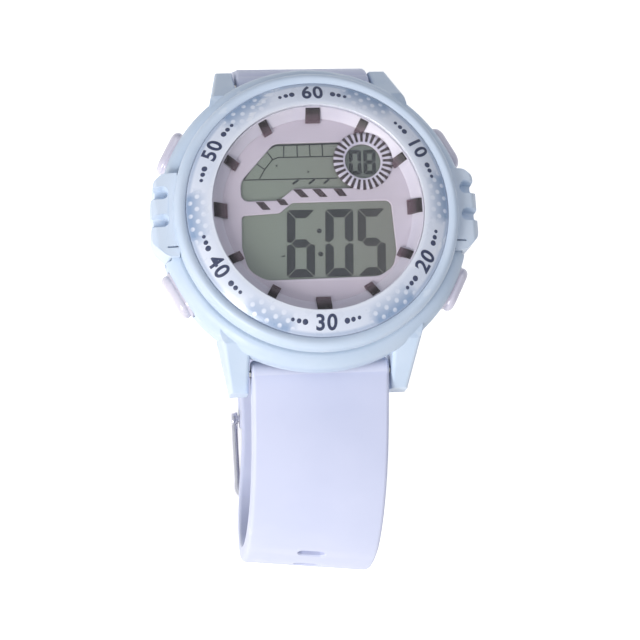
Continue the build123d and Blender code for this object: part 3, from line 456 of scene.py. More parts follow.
@dataclass(frozen=True)
class Finish:
    """A moulded surface with slow colour drift, fine grain and paler edges, partly rubbed wear and partly
    painted highlight.
    """

    name: str
    slot: str
    colour: str
    drift: str
    edge: str
    roughness: float
    ior: float = 1.5
    metallic: float = 0.0
    spread: float = 0.06
    drift_mm: float = 7.0
    drift_span: Flat = (0.35, 0.65)
    grain_mm: float = 0.4
    grain_depth_mm: float = 0.006
    edge_round_mm: float = 0.0
    edge_share: float = 0.5
    edge_span: Flat = (0.505, 0.56)
    touch_mm: float = 1.7
    touch_span: Flat = (0.3, 0.7)
    coat: float = 0.0
    coat_roughness: float = 0.08

    @cached_property
    def material(self) -> bpy.types.Material:
        """The finish as a Blender material, made once.

        Returns:
            The material.
        """
        material = bpy.data.materials.new(self.name)
        material.use_nodes = True
        tree = material.node_tree
        place = add_node(tree, "TexCoord")["Object"]
        surface = {
            "IOR": self.ior, "Metallic": self.metallic,
            "Coat Weight": self.coat, "Coat Roughness": self.coat_roughness,
            "Base Color": self.rubbed_and_lit_edges(tree, self.pattern(tree, place)),
            "Roughness": self.gloss(tree, place), "Normal": self.relief(tree, place),
        }
        feed(tree.nodes["Principled BSDF"], surface | self.extras())
        return material

    def extras(self) -> dict[str, object]:
        """More of the shader's inputs; a finish that has some says so here."""
        return {}

    def pattern(self, tree: bpy.types.NodeTree, place: Socket) -> Socket:
        """Colour that drifts slowly between the two shades of the batch.

        Args:
            tree: the material's tree.
            place: the piece's own coordinates.

        Returns:
            The colour.
        """
        noise = {"Vector": place, "Scale": 1 / (self.drift_mm * MM), "Detail": 3.0}
        drift = add_node(tree, "TexNoise", noise)["Fac"]
        return blend(tree, drift, linear(self.colour), linear(self.drift), self.drift_span)

    def rubbed_and_lit_edges(self, tree: bpy.types.NodeTree, colour: Socket) -> Socket:
        """Colour with paler edges: wear where the surface is handled, and a painted highlight along them.

        Args:
            tree: the material's tree.
            colour: the surface's colour.

        Returns:
            The colour with its edges.
        """
        low, high = self.edge_span
        # paler convex edges: partly wear, partly painted highlight
        bend = add_node(tree, "NewGeometry")["Pointiness"]
        span = {"Value": bend, "From Min": low, "From Max": high, "To Max": self.edge_share}
        share = add_node(tree, "MapRange", span)[0]
        return add_node(tree, "Mix", {0: share, 6: colour, 7: linear(self.edge)}, data_type="RGBA")[2]

    def gloss(self, tree: bpy.types.NodeTree, place: Socket) -> Socket:
        """Roughness that varies where the skin was touched.

        Args:
            tree: the material's tree.
            place: the piece's own coordinates.

        Returns:
            The roughness.
        """
        noise = {"Vector": place, "Scale": 1 / (self.touch_mm * MM), "Detail": 4.0}
        span = {
            "Value": add_node(tree, "TexNoise", noise)["Fac"],
            "From Min": self.touch_span[0], "From Max": self.touch_span[1],
            "To Min": self.roughness - self.spread, "To Max": self.roughness + self.spread,
        }
        return add_node(tree, "MapRange", span)[0]

    def height(self, tree: bpy.types.NodeTree, place: Socket) -> Socket:
        """Height of the fine grain."""
        noise = {"Vector": place, "Scale": 1 / (self.grain_mm * MM), "Detail": 2.0}
        return add_node(tree, "TexNoise", noise)["Fac"]

    def relief(self, tree: bpy.types.NodeTree, place: Socket) -> Socket:
        """Normal with the fine grain, and edges turned over a small radius.

        Args:
            tree: the material's tree.
            place: the piece's own coordinates.

        Returns:
            The normal.
        """
        inputs = {"Height": self.height(tree, place), "Distance": self.grain_depth_mm * MM, "Strength": 1.0}
        if self.edge_round_mm:
            inputs["Normal"] = add_node(tree, "Bevel", {"Radius": self.edge_round_mm * MM}, samples=8)[0]
        return add_node(tree, "Bump", inputs)[0]


@dataclass(frozen=True)
class HalftonePrint(Finish):
    """Pale lacquer with six patches of grey-blue ink, broken by staggered dots that grow inwards."""

    ink: str = "#8FA6C6"
    patch_half_pitch: float = 30.0
    patch_shift: float = 33.5
    patch_span: Flat = (9.0, 14.0)
    dot_turn: float = 6.0
    dot_radius: float = 17.4
    dot_span: Flat = (0.19, 0.37)
    dot_growth: float = 0.04
    row_mm: float = 0.9
    outer_mm: float = 18.75
    fade_span: Flat = (15.9, 18.3)
    band_span: Flat = (18.2, 18.55)
    band_share: float = 0.55

    def pattern(self, tree: bpy.types.NodeTree, place: Socket) -> Socket:
        """Ink over lacquer, laid out by the angle in degrees and the radius in millimetres.

        Args:
            tree: the material's tree.
            place: the piece's own coordinates.

        Returns:
            The colour.
        """
        parts = add_node(tree, "SeparateXYZ", {0: place})
        flat = add_node(tree, "VectorMath", {0: place, 1: (1 / MM, 1 / MM, 0.0)}, operation="MULTIPLY")[0]
        radius = add_node(tree, "VectorMath", {0: flat}, operation="LENGTH")[1]
        bearing = add_node(tree, "Math", {0: parts[0], 1: parts[1]}, operation="ARCTAN2")[0]
        turn = add_node(tree, "Math", {0: bearing}, operation="DEGREES")[0]
        patch = self.patches(tree, turn)
        dot = self.dots(tree, radius, turn)
        low, high = self.fade_span
        fade = add_node(tree, "MapRange", {"Value": radius, "From Min": low, "From Max": high})[0]
        low, high = self.band_span
        band = {"Value": radius, "From Min": low, "From Max": high, "To Max": self.band_share}
        faded = add_node(tree, "Math", {0: patch, 1: fade}, operation="MULTIPLY")[0]
        dots = add_node(tree, "Math", {0: faded, 1: dot}, operation="MULTIPLY")[0]
        rim = add_node(tree, "MapRange", band)[0]
        ink = add_node(tree, "Math", {0: dots, 1: rim}, operation="MAXIMUM")[0]
        return blend(tree, ink, super().pattern(tree, place), linear(self.ink))

    def patches(self, tree: bpy.types.NodeTree, turn: Socket) -> Socket:
        """1 in the six inked patches, running out to 0 at their ends.

        Args:
            tree: the material's tree.
            turn: angle about the dial's middle in degrees.

        Returns:
            The share of ink.
        """
        shifted = add_node(tree, "Math", {0: turn, 1: self.patch_shift}, operation="ADD")[0]
        away = add_node(tree, "Math", {0: shifted, 1: self.patch_half_pitch}, operation="PINGPONG")[0]
        low, high = self.patch_span
        span = {"Value": away, "From Min": low, "From Max": high, "To Min": 1.0, "To Max": 0.0}
        return add_node(tree, "MapRange", span)[0]

    def dots(self, tree: bpy.types.NodeTree, radius: Socket, turn: Socket) -> Socket:
        """0 in the dots of staggered rows and 1 between them.

        Args:
            tree: the material's tree.
            radius: distance from the dial's middle in millimetres.
            turn: angle about the dial's middle in degrees.

        Returns:
            The share of ink.
        """
        depth = add_node(tree, "Math", {0: self.outer_mm, 1: radius}, operation="SUBTRACT")[0]
        down = add_node(tree, "Math", {0: depth, 1: self.row_mm}, operation="DIVIDE")[0]
        row = add_node(tree, "Math", {0: down}, operation="FLOOR")[0]
        pitches = add_node(tree, "Math", {0: turn, 1: self.dot_turn}, operation="DIVIDE")[0]
        along = add_node(tree, "Math", {0: row, 1: 0.5, 2: pitches}, operation="MULTIPLY_ADD")[0]
        cell = add_node(tree, "CombineXYZ", {0: along, 1: down})[0]
        inside = add_node(tree, "VectorMath", {0: cell}, operation="FRACTION")[0]
        centred = add_node(tree, "VectorMath", {0: inside, 1: (0.5, 0.5, 0.0)}, operation="SUBTRACT")[0]
        sides = (math.radians(self.dot_turn) * self.dot_radius, self.row_mm, 0.0)
        offset = add_node(tree, "VectorMath", {0: centred, 1: sides}, operation="MULTIPLY")[0]
        reach = add_node(tree, "VectorMath", {0: offset}, operation="LENGTH")[1]
        grown = add_node(tree, "Math", {0: row, 1: -self.dot_growth, 2: reach}, operation="MULTIPLY_ADD")[0]
        low, high = self.dot_span
        return add_node(tree, "MapRange", {"Value": grown, "From Min": low, "From Max": high})[0]


@dataclass(frozen=True)
class DisplayGlass(Finish):
    """Reflective liquid crystal cell: grey-green, going warmer to the right, with painted shade in the round
    window under the small ring.
    """

    far: str = "#675F5F"
    fade_x: Flat = (-6.0, 10.5)
    # painted shade: the dark colour of the cell inside the round window, under the small ring
    round_window_shade: str = "#2E343A"
    window: Spot = (6.94, 7.07, 10.2)
    window_span: Flat = (2.75, 2.85)

    def pattern(self, tree: bpy.types.NodeTree, place: Socket) -> Socket:
        """Grey-green that drifts across the cell, with painted shade in the round window.

        Args:
            tree: the material's tree.
            place: the piece's own coordinates.

        Returns:
            The colour.
        """
        parts = add_node(tree, "SeparateXYZ", {0: place})
        low, high = self.fade_x
        across = blend(tree, parts[0], super().pattern(tree, place), linear(self.far), (low * MM, high * MM))
        middle = tuple(value * MM for value in self.window)
        away = add_node(tree, "VectorMath", {0: place, 1: middle}, operation="DISTANCE")[1]
        low, high = self.window_span
        return blend(tree, away, linear(self.round_window_shade), across, (low * MM, high * MM))


@dataclass(frozen=True)
class SegmentInk(Finish):
    """Switched-on liquid crystal: near black in the middle of the cell, fainter to the right."""

    faint: str = "#3C3836"
    fade_x: Flat = (3.6, 6.4)
    fade_y: Flat = (1.0, 2.0)

    def pattern(self, tree: bpy.types.NodeTree, place: Socket) -> Socket:
        """Darkness that depends on where in the cell the segment is.

        Args:
            tree: the material's tree.
            place: the piece's own coordinates.

        Returns:
            The colour.
        """
        base = super().pattern(tree, place)
        parts = add_node(tree, "SeparateXYZ", {0: place})
        (left, right), (foot, head) = self.fade_x, self.fade_y
        low = blend(tree, parts[0], base, linear(self.faint), (left * MM, right * MM))
        return blend(tree, parts[1], low, base, (foot * MM, head * MM))


@dataclass(frozen=True)
class RadialFoil(Finish):
    """Hot foil, brown-grey, darkened to near black at its outer end by painted shade."""

    # painted shade: the near black that each marker's outer end is darkened to
    outer: str = "#0F0A0E"
    fade_reach: Flat = (17.0, 18.6)

    def pattern(self, tree: bpy.types.NodeTree, place: Socket) -> Socket:
        """Colour by the distance from the frame's origin, under the dial's middle, with painted shade towards
        the outer end.

        Args:
            tree: the material's tree.
            place: the piece's own coordinates.

        Returns:
            The colour.
        """
        away = add_node(tree, "VectorMath", {0: place}, operation="LENGTH")[1]
        low, high = self.fade_reach
        return blend(tree, away, super().pattern(tree, place), linear(self.outer), (low * MM, high * MM))


@dataclass(frozen=True)
class TurnedSteel(Finish):
    """Steel turned on a lathe: fine rings about the middle."""

    ring_mm: float = 0.28
    wander_mm: float = 1.2

    def height(self, tree: bpy.types.NodeTree, place: Socket) -> Socket:
        """Height of the tool's rings, each a little different along its way round.

        Args:
            tree: the material's tree.
            place: the piece's own coordinates.

        Returns:
            The height.
        """
        parts = add_node(tree, "SeparateXYZ", {0: place})
        flat = add_node(tree, "VectorMath", {0: place, 1: (1.0, 1.0, 0.0)}, operation="MULTIPLY")[0]
        radius = add_node(tree, "VectorMath", {0: flat}, operation="LENGTH")[1]
        bearing = add_node(tree, "Math", {0: parts[1], 1: parts[0]}, operation="ARCTAN2")[0]
        turn = add_node(tree, "Math", {0: bearing, 1: self.wander_mm * MM}, operation="MULTIPLY")[0]
        lined = add_node(tree, "CombineXYZ", {0: radius, 1: turn})[0]
        noise = {"Vector": lined, "Scale": 1 / (self.ring_mm * MM), "Detail": 3.0}
        return add_node(tree, "TexNoise", noise)["Fac"]


@dataclass(frozen=True)
class RubbedSteel(Finish):
    """Polished steel with hairline marks along its length."""

    stretch: Spot = (1.0, 0.12, 1.0)

    def height(self, tree: bpy.types.NodeTree, place: Socket) -> Socket:
        """Height of fine marks, stretched along the strap.

        Args:
            tree: the material's tree.
            place: the piece's own coordinates.

        Returns:
            The height.
        """
        drawn = add_node(tree, "Mapping", {"Vector": place, "Scale": self.stretch})[0]
        noise = {"Vector": drawn, "Scale": 1 / (self.grain_mm * MM), "Detail": 4.0}
        return add_node(tree, "TexNoise", noise)["Fac"]


@dataclass(frozen=True)
class ClearLens(Finish):
    """Clear acrylic, polished, with faint wiping marks and muted reflections."""

    glint: str = "#8C8C8C"

    def extras(self) -> dict[str, object]:
        """Light goes through the lens."""
        return {"Transmission Weight": 1.0, "Specular Tint": linear(self.glint)}


@dataclass(frozen=True)
class BoardLaminate(Finish):
    """Glass cloth laminate under green mask, with faint copper tracks."""

    copper: str = "#3F7A4E"
    track_mm: float = 3.2
    track_share: float = 0.06

    def pattern(self, tree: bpy.types.NodeTree, place: Socket) -> Socket:
        """Mask colour, paler over the tracks.

        Args:
            tree: the material's tree.
            place: the piece's own coordinates.

        Returns:
            The colour.
        """
        tracks = {"Vector": place, "Scale": 1 / (self.track_mm * MM), "Mortar Size": self.track_share}
        share = add_node(tree, "TexBrick", tracks)["Fac"]
        return blend(tree, share, super().pattern(tree, place), linear(self.copper))


@dataclass(frozen=True)
class SoftRubber(Finish):
    """Moulded silicone rubber: satin, with a faint sheen of dust."""

    sheen: float = 0.25
    sheen_roughness: float = 0.6

    def extras(self) -> dict[str, object]:
        """The soft sheen that dusty rubber shows at its edges."""
        return {"Sheen Weight": self.sheen, "Sheen Roughness": self.sheen_roughness}


# Injection-moulded ABS, ice blue, eggshell from the tool: a soft broad highlight
CASE_ABS = Finish(
    "moulded_abs_ice_blue", "case_resin", "#CFDEF0", "#C7D8EC", "#E2ECF7", 0.44, 1.53,
    grain_mm=0.30, grain_depth_mm=0.004, edge_round_mm=0.22,
)
# The same ABS on a finer tool: the bezel is a little glossier than the case
BEZEL_ABS = Finish(
    "moulded_abs_ice_blue_fine", "bezel_resin", "#D1DFF1", "#C9DAEE", "#E4EDF8", 0.40, 1.53,
    grain_mm=0.30, grain_depth_mm=0.003,
)
# Polycarbonate, pad printed under a clear lacquer: glossy, with soft-edged ink
RING_PRINT = HalftonePrint(
    "printed_polycarbonate", "printed_ring", "#E4E9F6", "#DCE3F2", "#F0F3FA", 0.30, 1.58,
    grain_mm=0.5, grain_depth_mm=0.002, coat=0.3,
)
# Moulded nylon seal under the crystal, natural: dull and pale
GASKET_NYLON = Finish("moulded_nylon_natural", "seal_rubber", "#D9D9E4", "#CFCFDC", "#ECECF3", 0.55, 1.53)
# Painted shade in the joint between the bezel and the case: the same ABS, darkened to stand for the groove's
# shadow
SEAM_SHADE = Finish("painted_seam_shade", "bezel_resin", "#5B7F92", "#527486", "#7C9BAA", 0.60, 1.53)
# Pad-print ink, navy: slightly raised and semi-gloss
FIGURE_INK = Finish(
    "pad_print_ink_navy", "marker_plastic", "#27304E", "#343B57", "#48506C", 0.45,
    grain_mm=0.2, grain_depth_mm=0.004,
)
# Cast acrylic lens, polished: clear, with muted reflections and no tint of its own
LENS_ACRYLIC = ClearLens(
    "polished_cast_acrylic", "crystal", "#FFFFFF", "#FBFCFF", "#FFFFFF", 0.02, 1.49,
    spread=0.012, grain_mm=2.5, grain_depth_mm=0.0004,
)
# Polystyrene dial, sprayed pearl lacquer: satin, pinkish lavender
DIAL_LACQUER = Finish(
    "sprayed_pearl_lacquer", "dial_plastic", "#CBC0CD", "#C2B7C5", "#E6DEE9", 0.48,
    drift_mm=9.0, grain_mm=0.12, grain_depth_mm=0.003,
)
# Moulded polystyrene flange: paler lavender than the dial, and satin
FLANGE_STYRENE = Finish(
    "moulded_styrene_lavender", "flange_plastic", "#D2CCDA", "#C8C1D2", "#E4E0EA", 0.52, 1.59,
    grain_mm=0.25, grain_depth_mm=0.003, edge_round_mm=0.08,
)
# Hot-foil markers, brown-violet: dark, with hardly any glint on their edges
MARKER_FOIL = RadialFoil(
    "hot_foil_brown_violet", "marker_plastic", "#5E4853", "#4C3842", "#85727B", 0.55,
    grain_mm=0.18, grain_depth_mm=0.006, edge_round_mm=0.08, drift_mm=2.0, edge_share=0.05,
)
# The same foil, thicker: the small marks look nearly black-brown
DARK_FOIL = Finish(
    "hot_foil_dark_brown", "marker_plastic", "#37292F", "#2B2025", "#5C4C53", 0.55,
    grain_mm=0.18, grain_depth_mm=0.004, edge_share=0.05,
)
# Reflective liquid crystal cell: matt grey-green under its polariser
DISPLAY = DisplayGlass(
    "liquid_crystal_cell", "lcd_glass", "#727C71", "#767E73", "#8D9589", 0.42, 1.52,
    grain_mm=0.15, grain_depth_mm=0.001, drift_mm=12.0,
)
# Switched-on segments: a dark, flat tone behind the polariser
SEGMENT = SegmentInk(
    "liquid_crystal_segment", "lcd_glass", "#17191C", "#131518", "#24272A", 0.50,
    grain_mm=0.2, grain_depth_mm=0.001, drift_mm=4.0,
)
# Moulded silicone rubber, lavender white: satin with a soft sheen
STRAP_SILICONE = SoftRubber(
    "moulded_silicone_lavender", "strap_rubber", "#D6DBF5", "#D0D6F1", "#E7EAFB", 0.46, 1.41,
    grain_mm=0.22, grain_depth_mm=0.005, drift_mm=14.0,
)
# Polished polycarbonate buttons: glossy pinkish white
BUTTON_PC = Finish(
    "polished_polycarbonate_white", "button_plastic", "#DCD8E6", "#D2CDDF", "#F1EEF7", 0.24, 1.58,
    grain_mm=0.6, grain_depth_mm=0.002, edge_round_mm=0.15, coat=0.4,
)
# Stamped stainless steel, tumbled bright: mirror-like with hairlines
BUCKLE_STEEL = RubbedSteel(
    "tumbled_stainless_steel", "polished_steel", "#C8C6CB", "#BFBEC4", "#E4E3E8", 0.16, metallic=1.0,
    grain_mm=0.12, grain_depth_mm=0.002,
)
# Turned stainless steel back: rings from the lathe tool
BACK_STEEL = TurnedSteel(
    "turned_stainless_steel", "back_steel", "#C4C5C8", "#B9BABE", "#E2E3E5", 0.28, metallic=1.0,
    grain_depth_mm=0.006, edge_round_mm=0.08,
)
# Nickel-plated steel of the small inner pieces: bright and a little warm
PLATED = Finish(
    "nickel_plated_steel", "plated_steel", "#C6C3BA", "#BBB8AF", "#E2DFD8", 0.26, metallic=1.0,
    grain_mm=0.15, grain_depth_mm=0.003, edge_round_mm=0.05,
)
# Rolled brass of contacts and the buzzer: warm, lightly tarnished
BRASS = Finish(
    "rolled_brass", "contact_brass", "#C9A65A", "#B38F49", "#E2C57F", 0.30, metallic=1.0,
    drift_mm=3.0, grain_mm=0.15, grain_depth_mm=0.003,
)
# Fired piezo ceramic: matt and chalky
CERAMIC = Finish("fired_ceramic", "ceramic", "#E3DFD2", "#D8D3C4", "#EFECE2", 0.70, grain_mm=0.15)
# Nitrile rubber seals: dull black
SEAL_NITRILE = Finish("moulded_nitrile_rubber", "seal_rubber", "#26272A", "#2E3033", "#4A4C50", 0.62)
# Glass-filled ABS of the module: grey and matt
MODULE_ABS = Finish(
    "glass_filled_abs_grey", "module_plastic", "#3A3D42", "#43464C", "#5B5F66", 0.58, edge_round_mm=0.08
)
# Solder mask over glass cloth: green and semi-gloss, with paler tracks
BOARD = BoardLaminate("solder_mask_on_laminate", "board", "#1F5B3A", "#1A5134", "#56806A", 0.38)
# Poured epoxy over the chip: glossy black
CHIP_EPOXY = Finish("poured_epoxy_black", "chip_resin", "#17181A", "#1E2023", "#3A3C40", 0.22)
# Acrylic light guide, frosted: milky and satin
GUIDE_ACRYLIC = Finish(
    "polished_acrylic_frosted", "clear_plastic", "#E9EEF2", "#E1E8EE", "#FFFFFF", 0.30, 1.49
)
# Cast epoxy lamp body: warm amber and satin
LAMP_EPOXY = Finish("cast_epoxy_amber", "lamp", "#F1D9A0", "#E8CC8C", "#FFF0CC", 0.30, 1.54)


def dress(piece: bpy.types.Object, finish: Finish) -> None:
    """Give a piece its finish: in each of a CAD node's material slots, or as a new piece's only material.

    Args:
        piece: the piece.
        finish: the surface.
    """
    if "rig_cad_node" in piece:
        for slot in piece.material_slots:
            slot.material = finish.material
        return
    piece.data.materials.clear()
    piece.data.materials.append(finish.material)


def carry(finish: Finish, *nodes: str) -> None:
    """Show CAD nodes with a finish.

    Args:
        finish: the surface.
        nodes: the CAD nodes.
    """
    for node in nodes:
        dress(frame["nodes"][node], finish)
        log.info("carried %s as %s", node, finish.name)


def place_piece(piece: bpy.types.Object, finish: Finish, body: str, *nodes: str) -> bpy.types.Object:
    """Dress a piece, let it ride on a body and stand for CAD nodes.

    Args:
        piece: the piece, in place.
        finish: its surface.
        body: the CAD body that it rides on.
        nodes: CAD nodes that it replaces.

    Returns:
        The piece.
    """
    dress(piece, finish)
    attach(piece, body)
    if nodes:
        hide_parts(*nodes)
    log.info("made %s on %s", piece.name, body)
    return piece


# Bezel and printed ring


@dataclass
class BezelCap:
    """The ring over the neck, with a three-lobed guard at 3 and 9 o'clock."""

    inner: float = 18.95
    crest: float = 19.70
    outer: float = 20.65
    low: float = 9.25
    shoulder: float = 10.80
    top: float = 12.10
    inner_break: tuple[Flat, ...] = ((0.0, 0.36), (0.05, 0.26), (0.16, 0.18))
    crest_slope: Flat = (0.25, 0.04)
    lip_break: float = 0.10
    groove_radius: float = 20.22
    groove_height: float = 0.42
    seam_radii: Flat = (-0.02, 0.05)
    seam_heights: Flat = (-0.03, 0.02)
    count: int = 288
    root_x: float = 19.9
    valley_x: float = 23.35
    valley_slope: float = 0.4
    scoop_x: float = 21.40
    scoop_floor: float = 8.40
    scoop_flare: tuple[Flat, ...] = ((0.0, -0.30), (0.12, -0.12), (0.4, 0.0))
    scoop_flare_top: float = 0.55
    scoop_round_share: float = 0.95
    past_x: float = 26.0
    overrun: float = 1.0
    tip_x: float = 23.75
    first_tip_x: float = 23.35
    first_valley_x: float = 23.05
    first_corner: Flat = (1.35, 1.1)
    half_length: float = 6.148
    bevel: float = 2.2
    end_rounds: Flat = (2.0, 2.2)
    lobe_round: float = 1.0
    valley_round: float = 0.3
    first_rounds: Flat = (0.7, 1.4)
    notch_half: float = 0.75
    notch_high: float = 3.32
    notch_low: float = -0.80
    guard_low: float = 4.40
    cheek_x: float = 21.15
    chin: Flat = (0.5, 0.6)
    chin_rounds: Flat = (0.3, 0.4)
    brow_height: float = 8.95
    brow_proud: float = 0.02
    crown: Flat = (0.75, 9.90)
    crown_round: float = 0.9
    root_height: float = 10.55
    edge: float = 0.26
    edge_angle: float = 38.0
    hook_y: float = -4.78
    hook_end: float = 21.60
    hook_width: float = 0.26
    hook_floor: float = 9.60
    hook_round_share: float = 0.9

    def ring(self) -> bpy.types.Object:
        """The turned ring, rounded over its outer top edge.

        Returns:
            The ring.
        """
        lip, groove = self.low + self.groove_height, self.groove_radius
        profile = [(self.inner, self.low)]
        profile += [(self.inner + out, self.top - down) for out, down in self.inner_break]
        profile.append((self.crest - self.crest_slope[0], self.top - self.crest_slope[1]))
        for cosine, sine in arc(0, 90, 12):
            reach, rise = (self.outer - self.crest) * sine, (self.top - self.shoulder) * cosine
            profile.append((self.crest + reach, self.shoulder + rise))
        profile += [(self.outer, lip + self.lip_break), (self.outer - self.lip_break, lip)]
        profile += [(groove, lip), (groove, self.low)]
        return Shell().turned(profile, self.count).make("bezel_ring")

    def seam(self) -> bpy.types.Object:
        """A dark ring at the foot of the groove under the ring: painted shade of the joint.

        Returns:
            The seam.
        """
        inner, outer = (self.groove_radius + value for value in self.seam_radii)
        low, high = self.low + self.seam_heights[0], self.low + self.groove_height + self.seam_heights[1]
        profile = [(inner, low), (outer, low), (outer, high), (inner, high)]
        return Shell().turned(profile, self.count).make("bezel_seam_shade")

    def scoop(self, side: int, y: float) -> bpy.types.Object:
        """Cutter of the scoop inside one notch, flared upwards.

        Args:
            side: 1 for 3 o'clock, -1 for 9 o'clock.
            y: the notch's middle.

        Returns:
            The cutter.
        """
        flare = [(self.scoop_floor + rise, grow) for rise, grow in self.scoop_flare]
        rings = []
        for z, grow in flare + [(self.top, self.scoop_flare_top)]:
            half, start = self.notch_half + grow, self.scoop_x - grow
            end = half * self.scoop_round_share
            outline = oblong((start, y - half), (self.past_x, y + half), (end, 0.0, 0.0, end), 8)
            rings.append([(side * x, along, z) for x, along in outline])
        return Shell().loft(rings).make("guard_scoop")

    def hook(self, side: int) -> bpy.types.Object:
        """Cutter of the short joint line across the guard on one side.

        Args:
            side: 1 for 3 o'clock, -1 for 9 o'clock.

        Returns:
            The cutter.
        """
        half = self.hook_width / 2
        end = half * self.hook_round_share
        low, high = (self.root_x, self.hook_y - half), (self.hook_end, self.hook_y + half)
        plan = [(side * x, y) for x, y in oblong(low, high, (0.0, end, end, 0.0), 4)]
        return Shell().prism(plan, self.hook_floor, self.top).make("guard_hook")

    def plan(self) -> list[Flat]:
        """Outline of the guard at 3 o'clock from above: a beveled end, three lobes, a lower first one.

        Returns:
            The outline.
        """
        half, tip, end = self.notch_half, self.tip_x, self.half_length
        foot = half - self.valley_slope
        corners = [
            (self.root_x, -end, 0.0), (tip - self.bevel, -end, self.end_rounds[0]),
            (tip, self.bevel - end, self.end_rounds[1]),
        ]
        notches = (
            (self.notch_low, self.valley_x, tip, self.lobe_round),
            (self.notch_high, self.first_valley_x, self.first_tip_x, self.first_rounds[0]),
        )
        for y, valley, beyond, far_round in notches:
            corners += [
                (tip, y - half, self.lobe_round), (valley, y - foot, self.valley_round),
                (valley, y + foot, self.valley_round), (beyond, y + half, far_round),
            ]
        first, far_round = self.first_tip_x, self.first_rounds[1]
        corners += [
            (first, end - self.first_corner[1], far_round), (first - self.first_corner[0], end, far_round),
            (self.root_x, end, 0.0),
        ]
        return rounded(corners, 5)

    def profile(self) -> list[Flat]:
        """Outline of the guard at 3 o'clock in height, as (x, z).

        Returns:
            The outline.
        """
        root, tip, low = self.root_x - self.overrun, self.tip_x, self.guard_low
        return rounded(
            [
                (root, self.low, 0.0), (self.cheek_x, self.low, 0.0), (self.cheek_x, low, 0.0),
                (tip - self.chin[0], low, self.chin_rounds[0]),
                (tip, low + self.chin[1], self.chin_rounds[1]),
                (tip + self.brow_proud, self.brow_height, self.crown_round),
                (tip - self.crown[0], self.crown[1], self.crown_round), (root, self.root_height, 0.0),
            ],
            5,
        )

    def guard(self, side: int) -> bpy.types.Object:
        """The guard on one side.

        Args:
            side: 1 for 3 o'clock, -1 for 9 o'clock.

        Returns:
            The guard.
        """
        plan = [(side * x, y) for x, y in self.plan()]
        name = "bezel_guard_" + ("right" if side > 0 else "left")
        piece = Shell().prism(plan, self.guard_low - self.overrun, self.top).make(name)
        reach = self.half_length + self.overrun
        rings = [[(side * x, y, z) for x, z in self.profile()] for y in (-reach, reach)]
        combine(piece, [Shell().loft(rings).make("guard_profile")], Join.KEEP)
        scoops = [self.scoop(side, self.notch_high), self.scoop(side, self.notch_low)]
        combine(piece, scoops + [self.hook(side)], Join.CUT)
        soften(piece, self.edge, self.edge_angle)
        return piece

    def build(self) -> None:
        """Make the ring, its seam and both guards."""
        place_piece(self.ring(), BEZEL_ABS, "head", "bezel_cap")
        # the seam ring is painted shade in the groove between the bezel and the case
        place_piece(self.seam(), SEAM_SHADE, "head")
        for side in (1, -1):
            place_piece(self.guard(side), BEZEL_ABS, "head", "bezel_cap")


